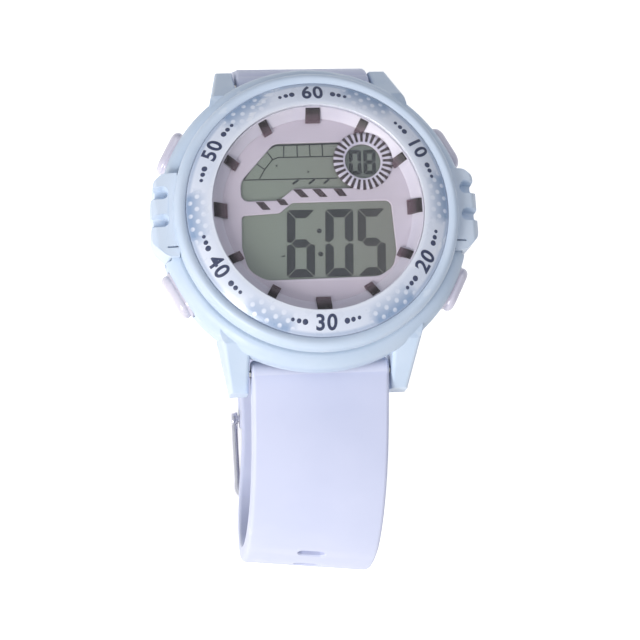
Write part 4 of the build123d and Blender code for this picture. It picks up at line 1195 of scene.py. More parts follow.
@dataclass
class PrintedRing:
    """Sloped printed ring round the crystal, with plain minute figures."""

    inner: float = 15.62
    lip: float = 15.24
    lip_wall: float = 0.12
    lip_break: float = 0.06
    skirt: float = 11.52
    outer: float = 18.92
    top: float = 13.20
    edge: float = 11.75
    edge_break: float = 0.08
    middle: Flat = (17.37, 12.65)
    dome_inset: Flat = (0.14, 0.10)
    foot: float = 11.0
    relief_radius: float = 16.45
    relief_height: float = 12.15
    count: int = 288
    figure_radius: float = 17.12
    figure_height: float = 2.05
    type_share: float = 1.44
    type_spacing: float = 1.12
    type_swell: float = 0.075
    type_thickness: float = 0.02
    longest_edge: float = 0.3
    turned_clocks: Flat = (100.0, 260.0)
    lift: float = 0.012
    dot_radii: Spot = (0.40, 0.33, 0.26)
    dot_start: float = 10.0
    dot_pitch: float = 3.0
    dot_profile: tuple[Flat, ...] = ((-0.05, 0.0), (0.02, 0.0), (0.035, -0.03))

    def height(self, radius: float) -> float:
        """Height of the dome at a radius.

        Args:
            radius: distance from the dial's middle.

        Returns:
            The height.
        """
        share = (radius - self.inner) / (self.outer - self.inner)
        bulge_share = (self.middle[0] - self.inner) / (self.outer - self.inner)
        chord = self.top + (self.edge - self.top) * share
        rise = self.middle[1] - (self.top + (self.edge - self.top) * bulge_share)
        return chord + rise * share * (1 - share) / (bulge_share * (1 - bulge_share))

    def body(self) -> bpy.types.Object:
        """The domed ring.

        Returns:
            The ring.
        """
        wall, near, far = self.lip + self.lip_wall, *self.dome_inset
        profile = [(wall, self.relief_height), (wall, self.skirt), (self.lip, self.skirt)]
        profile += [(self.lip, self.top - self.lip_break), (self.lip + self.lip_break, self.top)]
        for step in range(25):
            radius = self.inner + near + (self.outer - self.inner - near - far) * step / 24
            profile.append((radius, self.height(radius)))
        profile += [(self.outer, self.edge - self.edge_break), (self.outer, self.foot)]
        profile += [(self.relief_radius, self.foot), (self.relief_radius, self.relief_height)]
        return Shell().turned(profile, self.count).make("printed_ring_body")

    def type_mesh(self, name: str, text: str) -> bpy.types.Mesh:
        """Flat digits in millimetres about the origin, as a closed mesh.

        Args:
            name: the mesh's name.
            text: the digits.

        Returns:
            The mesh.
        """
        curve = bpy.data.curves.new(name, "FONT")
        curve.body = text
        curve.size = self.figure_height * self.type_share
        curve.align_x = "CENTER"
        curve.align_y = "CENTER"
        curve.extrude = self.type_thickness
        curve.offset = self.type_swell
        curve.space_character = self.type_spacing
        return from_curve(name, curve)

    def figure(self, text: str, clock: float, outwards: bool) -> bpy.types.Object:
        """One plain number, laid on the dome.

        Args:
            text: the digits.
            clock: degrees clockwise from 12.
            outwards: whether the digits' tops point away from the middle.

        Returns:
            The number as a piece.
        """
        name = "minute_" + text
        mesh = self.type_mesh(name, text)
        work = bmesh.new()
        work.from_mesh(mesh)
        bmesh.ops.triangulate(work, faces=work.faces)
        long = [edge for edge in work.edges if edge.calc_length() > self.longest_edge]
        bmesh.ops.subdivide_edges(work, edges=long, cuts=3, use_grid_fill=False)
        bmesh.ops.triangulate(work, faces=work.faces)
        facing = 1.0 if outwards else -1.0
        for vertex in work.verts:
            radius = self.figure_radius + facing * vertex.co.y
            turn = math.radians(clock) + facing * vertex.co.x / radius
            height = self.height(radius) + self.lift + vertex.co.z
            vertex.co = (radius * math.sin(turn) * MM, radius * math.cos(turn) * MM, height * MM)
        bmesh.ops.recalc_face_normals(work, faces=work.faces)
        work.to_mesh(mesh)
        work.free()
        piece = show(name, mesh)
        smooth(piece, 30)
        return piece

    def dots(self) -> bpy.types.Object:
        """Low studs on both sides of each number, smaller away from it.

        Returns:
            The studs as one piece.
        """
        shell = Shell()
        for number in range(6):
            for step, size in enumerate(self.dot_radii):
                for side in (-1, 1):
                    turn = math.radians(60 * number + side * (self.dot_start + self.dot_pitch * step))
                    x, y = self.figure_radius * math.sin(turn), self.figure_radius * math.cos(turn)
                    rings = []
                    for lift, grow in self.dot_profile:
                        outline = circle(size + grow, 24, x, y)
                        rings.append([(a, b, self.height(math.hypot(a, b)) + lift) for a, b in outline])
                    shell.loft(rings)
        return shell.make("minute_dots")

    def build(self) -> None:
        """Make the ring, its numbers and its studs."""
        place_piece(self.body(), RING_PRINT, "head", "printed_ring")
        for number in (60, 10, 20, 30, 40, 50):
            clock = number * 6.0 % 360
            outwards = not self.turned_clocks[0] <= clock <= self.turned_clocks[1]
            place_piece(self.figure(str(number), clock, outwards), FIGURE_INK, "head")
        place_piece(self.dots(), FIGURE_INK, "head")


# Dial and display


@dataclass
class Dial:
    """Dial plate with its windows, the small window's fluted ring and slanted marks."""

    radius: float = 15.2
    low: float = 10.2
    top: float = 10.6
    rim: float = 0.16
    small: Flat = (6.94, 7.07)
    small_inner: float = 2.6
    small_outer: float = 4.25
    small_window: float = 4.1
    window_arc: Flat = (134.0, 247.0)
    ring_top: float = 10.85
    flutes: int = 28
    flute_foot: float = 2.88
    flute_past: float = 0.06
    flute_halves: Flat = (0.17, 0.24)
    print_depth: float = 0.02
    slant_halves: Flat = (0.60, 0.58)
    slant_round: float = 0.06

    def main_window(self) -> list[Flat]:
        """Outline of the time window.

        Returns:
            The outline.
        """
        return rounded(
            [
                (-10.86, -0.71, 0.6), (-5.44, -0.38, 0.9), (-3.57, 1.10, 0.9), (10.60, 1.18, 0.9),
                (10.95, -6.40, 3.0), (10.35, -8.60, 2.4), (8.30, -9.95, 3.0), (-7.90, -10.20, 3.4),
                (-10.30, -8.70, 3.0), (-11.05, -5.40, 3.5),
            ],
            8,
        )

    def upper_window(self) -> list[Flat]:
        """Outline of the upper window, which ends at the small ring.

        Returns:
            The outline.
        """
        x, y = self.small
        turns = arc(*self.window_arc, 12)
        end = [(x + self.small_window * cosine, y + self.small_window * sine) for cosine, sine in turns]
        run = rounded(
            [
                (end[-1][0], 3.12, 0.1), (-3.25, 3.20, 0.9), (-5.43, 1.50, 0.9), (-10.76, 1.43, 1.0),
                (-10.80, 4.30, 2.5), (-5.75, 9.95, 1.6), (end[0][0], 10.06, 0.0),
            ],
            8,
        )
        return run + end

    def plate(self) -> bpy.types.Object:
        """The plate, its window edges rounded.

        Returns:
            The plate.
        """
        curve = bpy.data.curves.new("dial_plate_face", "CURVE")
        curve.dimensions = "2D"
        curve.fill_mode = "BOTH"
        windows = [self.main_window(), self.upper_window(), circle(self.small_inner, 96, *self.small)]
        for outline in [circle(self.radius - self.rim, 192)] + windows:
            line = curve.splines.new("POLY")
            line.points.add(len(outline) - 1)
            for point, (x, y) in zip(line.points, outline):
                point.co = (x * MM, y * MM, 0.0, 1.0)
            line.use_cyclic_u = True
        curve.extrude = ((self.top - self.low) / 2 - self.rim) * MM
        curve.bevel_depth = self.rim * MM
        curve.bevel_resolution = 2
        curve.offset = -self.rim * MM
        mesh = from_curve("dial_plate_face", curve)
        mesh.transform(Matrix.Translation((0.0, 0.0, (self.top + self.low) / 2 * MM)))
        piece = show("dial_plate_face", mesh)
        smooth(piece, 40)
        return piece

    def small_ring(self) -> bpy.types.Object:
        """The pale ring round the small window, domed a little.

        Returns:
            The ring.
        """
        inner, outer, top = self.small_inner, self.small_outer, self.ring_top
        profile = rounded(
            [
                (inner, self.top, 0.0), (inner, top - 0.05, 0.08), (inner + 0.35, top, 0.2),
                (outer - 0.3, top, 0.2), (outer, top - 0.14, 0.1), (outer, self.top, 0.0),
            ],
            4,
        )
        return Shell().turned(profile, 144, self.small).make("small_window_ring")

    def small_marks(self) -> bpy.types.Object:
        """Dark strokes round the small ring.

        Returns:
            The strokes as one piece.
        """
        shell, middle = Shell(), Vector(self.small)
        narrow, wide = self.flute_halves
        for turn in circle(1.0, self.flutes):
            along = Vector(turn)
            across = Vector((-along.y, along.x))
            foot = middle + along * self.flute_foot
            tip = middle + along * (self.small_outer + self.flute_past)
            corners = [foot - across * narrow, tip - across * wide]
            corners += [tip + across * wide, foot + across * narrow]
            outline = [tuple(corner) for corner in corners]
            shell.prism(outline, self.top - self.print_depth, self.ring_top + self.print_depth)
        return shell.make("small_window_marks")

    def slants(self) -> bpy.types.Object:
        """Five slanted bars on the bridge between the windows.

        Returns:
            The bars as one piece.
        """
        shell = Shell()
        bars = [
            ((-8.25, 1.28), (-7.28, 0.10)), ((-5.33, 1.62), (-4.68, 0.74)), ((-2.82, 3.05), (-1.70, 1.83)),
            ((-0.08, 3.05), (1.00, 1.83)), ((2.96, 3.05), (3.80, 1.90)),
        ]
        head, foot, turn = *self.slant_halves, self.slant_round
        for (top_x, top_y), (foot_x, foot_y) in bars:
            corners = [(top_x - head, top_y, turn), (foot_x - foot, foot_y, turn)]
            corners += [(foot_x + foot, foot_y, turn), (top_x + head, top_y, turn)]
            shell.prism(rounded(corners, 2), self.top - self.print_depth, self.top + self.print_depth)
        return shell.make("dial_slants")

    def build(self) -> None:
        """Make the plate, the ring and the marks, and carry the flange and the batons."""
        place_piece(self.plate(), DIAL_LACQUER, "head", "dial_plate")
        place_piece(self.small_ring(), FLANGE_STYRENE, "head", "seconds_ring")
        place_piece(self.small_marks(), DARK_FOIL, "head")
        place_piece(self.slants(), DARK_FOIL, "head")
        carry(FLANGE_STYRENE, "dial_flange")
        carry(MARKER_FOIL, "hour_markers")


@dataclass(frozen=True)
class Figures:
    """Seven-segment digits of one size."""

    width: float
    height: float
    stroke: float
    lean: float
    gap: float = 0.07
    chamfer_share: float = 0.28
    joint_share: float = 0.35

    def segments(self) -> dict[str, list[Flat]]:
        """Outlines of the seven segments of an upright digit at the origin's lower left.

        Returns:
            The outlines by name.
        """
        w, h, t, g = self.width, self.height, self.stroke, self.gap
        c, m = self.stroke * self.chamfer_share, self.height / 2
        top = [
            (c + g, h), (w - c - g, h), (w - g - c / 3, h - c / 3),
            (w - t - g, h - t), (t + g, h - t), (g + c / 3, h - c / 3),
        ]
        middle = [
            (t / 2 + g, m), (t + g, m + t / 2), (w - t - g, m + t / 2),
            (w - t / 2 - g, m), (w - t - g, m - t / 2), (t + g, m - t / 2),
        ]
        left = [
            (0.0, h - c - g), (c / 3, h - c / 3 - g), (t, h - t - g),
            (t, m + t / 2 + g), (t / 2, m + g), (0.0, m + t / 2 * self.joint_share + g),
        ]
        right = [(w - x, y) for x, y in left]
        lines = {"top": top, "middle": middle, "upper_left": left, "upper_right": right}
        for upper, lower in (("top", "bottom"), ("upper_left", "lower_left"), ("upper_right", "lower_right")):
            lines[lower] = [(x, h - y) for x, y in lines[upper]]
        return lines

    def draw(self, shell: Shell, digit: str, x: float, y: float, low: float, high: float) -> None:
        """Add one digit to a shell.

        Args:
            shell: where the digit goes.
            digit: 0, 5, 6 or 8.
            x: its lower left corner.
            y: its foot.
            low: height of its underside.
            high: height of its face.
        """
        lit = {
            "0": "top bottom upper_left lower_left upper_right lower_right",
            "5": "top middle bottom upper_left lower_right",
            "6": "top middle bottom upper_left lower_left lower_right",
            "8": "top middle bottom upper_left lower_left upper_right lower_right",
        }[digit].split()
        slope = math.tan(math.radians(self.lean))
        outlines = self.segments()
        for name in lit:
            shell.prism([(x + a + b * slope, y + b) for a, b in outlines[name]], low, high)


@dataclass
class Display:
    """The liquid crystal cell's digits and printed lines, just over its face."""

    face: float = 10.2
    sink: float = 0.005
    thickness: float = 0.015
    line: float = 0.17
    large: Figures = Figures(4.02, 9.9, 1.22, 3.3)
    large_foot: float = -9.8
    small: Figures = Figures(1.80, 3.70, 0.56, 2.0, gap=0.04)
    small_foot: float = 5.20
    colon: float = 0.36

    @property
    def low(self) -> float:
        """Height of the underside of what is shown."""
        return self.face - self.sink

    @property
    def high(self) -> float:
        """Height of the face of what is shown."""
        return self.face + self.thickness

    def time(self) -> bpy.types.Object:
        """The large digits with their colon, and a small corner mark at their foot.

        Returns:
            The digits as one piece.
        """
        shell = Shell()
        for digit, x in (("6", -4.94), ("0", 0.55), ("5", 5.20)):
            self.large.draw(shell, digit, x, self.large_foot, self.low, self.high)
        for y in (-3.05, -6.46):
            shell.prism(circle(self.colon, 20, 0.08, y), self.low, self.high)
        shell.prism([(-5.75, -6.75), (-5.05, -6.42), (-5.05, -6.75)], self.low, self.high)
        return shell.make("display_time_digits")

    def seconds(self) -> bpy.types.Object:
        """The two small digits.

        Returns:
            The digits as one piece.
        """
        shell = Shell()
        for digit, x in (("0", 4.92), ("8", 7.02)):
            self.small.draw(shell, digit, x, self.small_foot, self.low, self.high)
        return shell.make("display_small_digits")

    def lines(self) -> bpy.types.Object:
        """The segmented bar's lines in the upper window, at slightly different heights.

        Returns:
            The lines as one piece.
        """
        outer = [(-10.30, 4.70), (-9.70, 5.60), (-8.46, 7.17), (-6.87, 9.01), (-5.53, 9.78), (4.2, 9.93)]
        inner = [(-8.05, 4.80), (-7.22, 6.21), (-6.04, 7.65), (-5.20, 7.98), (2.75, 8.02)]
        bottom = [(-10.3, 4.70), (3.2, 4.72)]
        ribs = [
            [(-8.46, 7.17), (-7.22, 6.21)], [(-6.87, 9.01), (-6.04, 7.75)], [(-4.27, 9.80), (-4.38, 8.03)],
            [(-2.39, 9.85), (-2.42, 8.05)], [(-0.58, 9.85), (-0.58, 8.06)], [(1.25, 9.9), (1.23, 8.07)],
        ]
        ticks = [[(-2.45, 4.6), (-3.35, 3.95)], [(-0.15, 4.6), (-1.0, 3.95)], [(1.95, 4.6), (1.15, 3.95)]]
        strokes = [(outer, 1.4, 0.0), (inner, 1.0, 0.001), (bottom, 1.0, 0.002)]
        strokes += [(rib, 1.0, -0.002) for rib in ribs] + [(tick, 1.8, -0.002) for tick in ticks]
        shell = Shell()
        for points, width_share, lift in strokes:
            shell.prism(ribbon(points, self.line * width_share), self.low, self.high + lift)
        half, point = 0.22, 0.34
        for x, y, way in ((-5.35, 6.75, -1.0), (-1.1, 5.75, 1.0)):
            shell.prism([(x, y - half), (x + way * point, y), (x, y + half)], self.low, self.high)
        return shell.make("display_lines")

    def build(self) -> None:
        """Carry the cell and make what it shows."""
        carry(DISPLAY, "lcd_cell")
        for piece in (self.time(), self.seconds(), self.lines()):
            place_piece(piece, SEGMENT, "head")


# Strap and buckle


@dataclass(frozen=True)
class Run:
    """A straight (turn 0, its length) or an arc (its radius and turn in degrees)."""

    size: float
    turn: float = 0.0

    @property
    def length(self) -> float:
        """Length along the run."""
        return self.size if self.turn == 0 else self.size * abs(math.radians(self.turn))

    def reach(self, place: Spot, distance: float) -> Spot:
        """The (y, z, heading) after a distance along the run from its start.

        Args:
            place: the (y, z, heading) at the run's start.
            distance: how far along the run.

        Returns:
            The place there.
        """
        y, z, heading = place
        if self.turn == 0:
            return y + distance * math.cos(heading), z + distance * math.sin(heading), heading
        signed = math.copysign(self.size, self.turn)
        ahead = heading + distance / signed
        y += signed * (math.sin(ahead) - math.sin(heading))
        z += signed * (math.cos(heading) - math.cos(ahead))
        return y, z, ahead


@dataclass
class BandPath:
    """Middle line of a strap half in the plane across the watch."""

    start: Flat
    heading: float
    runs: list[Run]

    def samples(self, pitch: float) -> list[Spot]:
        """Places about a pitch apart, with one at each end of a run.

        Args:
            pitch: the distance between two places.

        Returns:
            The (y, z, heading) of each place.
        """
        place = (*self.start, math.radians(self.heading))
        places = [place]
        for run in self.runs:
            count = max(1, round(run.length / pitch))
            for step in range(1, count + 1):
                places.append(run.reach(place, run.length * step / count))
            place = places[-1]
        return places

    def at(self, distance: float = math.inf) -> Spot:
        """The place at a distance from the start, or the end if that is nearer.

        Args:
            distance: how far from the start.

        Returns:
            The (y, z, heading) there.
        """
        place = (*self.start, math.radians(self.heading))
        for run in self.runs:
            if distance <= run.length:
                return run.reach(place, distance)
            distance -= run.length
            place = run.reach(place, run.length)
        return place


def beside(place: Spot, x: float, offset: float, ahead: float = 0.0) -> Spot:
    """A point beside a place on a band's middle line.

    Args:
        place: the (y, z, heading) on the middle line.
        x: the point's x.
        offset: how far it lies to the left of the line.
        ahead: how far it lies further along the line's heading.

    Returns:
        The point.
    """
    y, z, heading = place
    cosine, sine = math.cos(heading), math.sin(heading)
    return x, y + ahead * cosine - offset * sine, z + ahead * sine + offset * cosine


@dataclass
class Strap:
    """Both rubber halves and the keeper."""

    half_width: float = 10.0
    tip_half: float = 7.7
    tail_narrowing: float = 0.3
    half_thickness: float = 1.3
    edge: float = 0.62
    pitch: float = 0.7
    bar_y: float = 21.9
    bar_z: float = 2.4
    knuckle: float = 1.9
    knuckle_edge: float = 0.3
    knuckle_inset: float = 0.02
    bore: float = 0.8
    past_x: float = 12.0
    long_heading: float = 192.0
    long_root: float = 0.8
    limb_radius: float = 29.2
    limb_turn: float = 78.0
    curl_radius: float = 15.5
    curl_turn: float = 90.0
    tail: Flat = (13.0, 38.0)
    tail_gap: float = 2.2
    tip_inset: float = 1.6
    tip_share: float = 0.06
    short_heading: float = -30.0
    root_share: float = 0.126
    root_run_share: float = 0.1146
    short_limb_share: float = 0.5728
    knee_share: float = 0.3208
    heel_share: float = 0.3666
    taper_end: float = -24.0
    clearance: float = 0.35
    buckle_y: float = -20.0
    buckle_knuckle: float = 1.75
    buckle_bore: float = 0.75
    tongue_room: Flat = (1.3, 2.8)
    tongue_depth: float = 3.0
    first_slot: float = 33.0
    slot_pitch: float = 6.4
    slots: int = 10
    slot_halves: Flat = (2.1, 0.95)
    slot_flare: float = 0.22
    slot_past: float = 0.4
    slot_round_share: float = 0.96
    skew: float = 6.5
    skew_drop: float = 18.0
    skew_back: Flat = (27.0, 12.0)
    root_run: float = 6.0
    keeper_halves: Flat = (10.3, 2.8)
    keeper_wall: float = 1.2
    keeper_width: float = 5.0
    keeper_lift: float = 1.2
    keeper_corner: float = 0.75
    keeper_edges: Flat = (0.4, 0.45)

    def long_path(self, *rest: Run) -> BandPath:
        """Middle line of the long half down its limb, and along the rest of its runs."""
        limb = [Run(self.long_root), Run(self.limb_radius, self.limb_turn)]
        return BandPath((-self.bar_y, self.bar_z), self.long_heading, limb + list(rest))

    @property
    def curl(self) -> Run:
        """The long half's turn under the watch."""
        return Run(self.curl_radius, self.curl_turn)

    @cached_property
    def limb(self) -> Spot:
        """Place where the long half points straight down."""
        return self.long_path().at()

    @cached_property
    def flat_start(self) -> Spot:
        """Place where the long half starts to lie flat."""
        return self.long_path(self.curl).at()

    @property
    def floor(self) -> float:
        """Height of the flat run's middle."""
        return self.flat_start[1]

    @property
    def buckle_z(self) -> float:
        """Height of the buckle bar, just under the long half."""
        return self.floor - self.half_thickness - self.clearance - self.buckle_knuckle

    @property
    def drop(self) -> float:
        """Height of the spring bars over the flat run."""
        return self.bar_z - self.floor

    def short_path(self, fall: float, *rest: Run) -> BandPath:
        """Middle line of the short half, with a straight fall in its middle.

        Args:
            fall: the fall's length.
            rest: what follows the heel.

        Returns:
            The middle line.
        """
        drop = self.drop
        upper = [Run(drop * self.root_share, -38.7), Run(drop * self.root_run_share)]
        upper += [Run(drop * self.short_limb_share, -21.3), Run(fall)]
        heel = drop * self.heel_share
        lower = [Run(drop * self.knee_share, -35.0), Run(heel), Run(heel, -55.0)]
        return BandPath((self.bar_y, self.bar_z), self.short_heading, upper + lower + list(rest))

    @cached_property
    def long_line(self) -> BandPath:
        """Middle line of the whole long half."""
        heel_y = self.short_path(0.0).at()[0]
        return self.long_path(self.curl, Run(heel_y - self.tail_gap - self.flat_start[0]), Run(*self.tail))

    @cached_property
    def short_line(self) -> BandPath:
        """Middle line of the whole short half.

        Returns:
            The middle line.
        """
        heel_y, heel_z, _ = self.short_path(0.0).at()
        stand = self.buckle_z - self.buckle_knuckle + self.half_thickness
        return self.short_path(heel_z - stand, Run(heel_y - self.buckle_y))

    @cached_property
    def slant_end(self) -> Spot:
        """Place where the short half's slanted run ends."""
        line = self.short_line
        return BandPath(line.start, line.heading, line.runs[:6]).at()

    def long_half_width(self, place: Spot) -> float:
        """Half the long half's width at a place.

        Args:
            place: the (y, z, heading) on the middle line.

        Returns:
            Half the width.
        """
        y, z, _ = place
        if z > self.limb[1]:
            return self.half_width
        if y < self.taper_end:
            share = (y - self.limb[0]) / (self.taper_end - self.limb[0])
            return self.half_width + (self.tip_half - self.half_width) * share
        tail = self.long_line.at()[0] + 2 * self.half_thickness
        return self.tip_half - self.tail_narrowing * (y - self.taper_end) / (tail - self.taper_end)

    def short_half_width(self, place: Spot) -> float:
        """Half the short half's width at a place.

        Args:
            place: the (y, z, heading) on the middle line.

        Returns:
            Half the width.
        """
        y, z, _ = place
        start = self.slant_end
        if z > start[1] or y > start[0]:
            return self.half_width
        finish = self.buckle_y + self.drop * self.heel_share
        share = min(1.0, (start[0] - y) / (start[0] - finish))
        return self.half_width + (self.tip_half - self.half_width) * share

    def skewed(self, place: Spot, point: Spot) -> Spot:
        """A point of the long half, moved forwards or back as the hanging loop twists a little.

        Args:
            place: the (y, z, heading) on the middle line.
            point: the point before the twist.

        Returns:
            The moved point.
        """
        y, z, _ = place
        start, run = self.skew_back
        down = min(1.0, max(0.0, -z / self.skew_drop))
        back = min(1.0, max(0.0, (-y - start) / run)) if z < self.limb[1] else 1.0
        lean = math.tan(math.radians(self.skew)) * eased(down) * eased(back)
        return point[0], point[1] - point[0] * lean, point[2]

    def thickness_at(self, path: BandPath, place: Spot) -> float:
        """Half the thickness at a place: the root is as thick as its knuckle and runs out smoothly.

        Args:
            path: the half's middle line.
            place: the (y, z, heading) on the middle line.

        Returns:
            Half the thickness.
        """
        share = min(1.0, math.dist(path.start, place[:2]) / self.root_run)
        extra = self.knuckle - self.knuckle_inset - self.half_thickness
        return self.half_thickness + extra * (1 - eased(share))

    def section(self, half: float, thick: float, edge: float) -> list[Flat]:
        """The band's rounded cross-section, with points on its middle.

        Args:
            half: half the width.
            thick: half the thickness.
            edge: the rounding of its corners.

        Returns:
            The outline.
        """
        corners = [
            (-half, -thick, edge), (0.0, -thick, 0.0), (half, -thick, edge),
            (half, thick, edge), (0.0, thick, 0.0), (-half, thick, edge),
        ]
        return rounded(corners, 5)

    def band(self, path: BandPath, width_at: Callable[[Spot], float], tip: bool) -> Shell:
        """A strap half swept along its middle line.

        Args:
            path: the middle line.
            width_at: gives half the width at a place.
            tip: whether the far end is rounded off and the band twists, as on the long half.

        Returns:
            The swept shell.
        """
        rings = []
        places = path.samples(self.pitch)
        for place in places:
            outline = self.section(width_at(place), self.thickness_at(path, place), self.edge)
            ring = [beside(place, x, offset) for x, offset in outline]
            rings.append([self.skewed(place, point) for point in ring] if tip else ring)
        if tip:
            end = places[-1]
            for cosine, sine in arc(0, 90, 8)[1:]:
                thin = max(cosine, self.tip_share)
                half = width_at(end) - self.tip_inset * (1 - cosine)
                outline = self.section(half, self.half_thickness * thin, self.edge * thin)
                rings.append([beside(end, x, offset, self.half_thickness * sine) for x, offset in outline])
        return Shell().loft(rings)

    def slot_tool(self) -> bpy.types.Object:
        """All the long half's slots as one cutter, flared at both faces.

        Returns:
            The cutter.
        """
        shell = Shell()
        flare, reach = self.slot_flare, self.half_thickness
        past = reach + self.slot_past
        for number in range(self.slots):
            place = self.long_line.at(self.first_slot + number * self.slot_pitch)
            rings = []
            inner = reach - flare
            for offset, grow in ((-past, 2 * flare), (-inner, 0.0), (inner, 0.0), (past, 2 * flare)):
                long, wide = (half + grow for half in self.slot_halves)
                outline = oblong((-long, -wide), (long, wide), (wide * self.slot_round_share,) * 4, 6)
                rings.append([self.skewed(place, beside(place, x, offset, ahead)) for x, ahead in outline])
            shell.loft(rings)
        return shell.make("slot_tool")

    def long_half(self) -> bpy.types.Object:
        """The holed half.

        Returns:
            The half.
        """
        piece = self.band(self.long_line, self.long_half_width, True).make("strap_long_half")
        half = self.half_width - self.knuckle_inset
        combine(piece, [pin(self.knuckle, half, -self.bar_y, self.bar_z, self.knuckle_edge)], Join.ADD)
        cuts = [pin(self.bore, self.past_x, -self.bar_y, self.bar_z), self.slot_tool()]
        combine(piece, cuts, Join.CUT, BORE_CREASE)
        return piece

    def short_half(self) -> bpy.types.Object:
        """The buckle half.

        Returns:
            The half.
        """
        piece = self.band(self.short_line, self.short_half_width, False).make("strap_short_half")
        root, tip = self.half_width - self.knuckle_inset, self.tip_half - self.knuckle_inset
        joins = [
            pin(self.knuckle, root, self.bar_y, self.bar_z, self.knuckle_edge),
            pin(self.buckle_knuckle, tip, self.buckle_y, self.buckle_z, self.knuckle_edge),
        ]
        combine(piece, joins, Join.ADD)
        side, along = self.tongue_room
        room = [(-side, -along), (side, -along), (side, along), (-side, along)]
        plan = [(x, self.buckle_y + y) for x, y in room]
        slot = Shell().prism(plan, self.buckle_z - self.tongue_depth, self.floor)
        cuts = [
            pin(self.bore, self.past_x, self.bar_y, self.bar_z),
            pin(self.buckle_bore, self.past_x, self.buckle_y, self.buckle_z),
            slot.make("tongue_slot"),
        ]
        combine(piece, cuts, Join.CUT, BORE_CREASE)
        return piece

    def keeper(self) -> bpy.types.Object:
        """The sliding loop on the short half's slanted run.

        Returns:
            The keeper.
        """
        runs = self.short_line.runs
        y, z, heading = self.short_line.at(sum(run.length for run in runs[:5]) + runs[5].length / 2)
        middle = (*beside((y, z, heading), 0.0, self.keeper_lift)[1:], heading)
        wall, half = self.keeper_wall / 2, self.keeper_width / 2
        side, up = (value + wall for value in self.keeper_halves)
        loop = oblong((-side, -up), (side, up), (self.keeper_corner,) * 4, 8)
        inner, outer = self.keeper_edges
        section = oblong((-wall, -half), (wall, half), (inner, outer, outer, inner), 4)
        rings = []
        for index, (x, lift) in enumerate(loop):
            way = (Vector(loop[(index + 1) % len(loop)]) - Vector(loop[index - 1])).normalized()
            ring = [beside(middle, x + way.y * out, lift - way.x * out, ahead) for out, ahead in section]
            rings.append(ring)
        return Shell().loft(rings, looped=True).make("strap_keeper_loop")

    def build(self) -> None:
        """Make both halves and the keeper."""
        place_piece(self.long_half(), STRAP_SILICONE, "long_strap", "strap_long")
        place_piece(self.short_half(), STRAP_SILICONE, "short_strap", "strap_short")
        place_piece(self.keeper(), STRAP_SILICONE, "keeper", "strap_keeper")


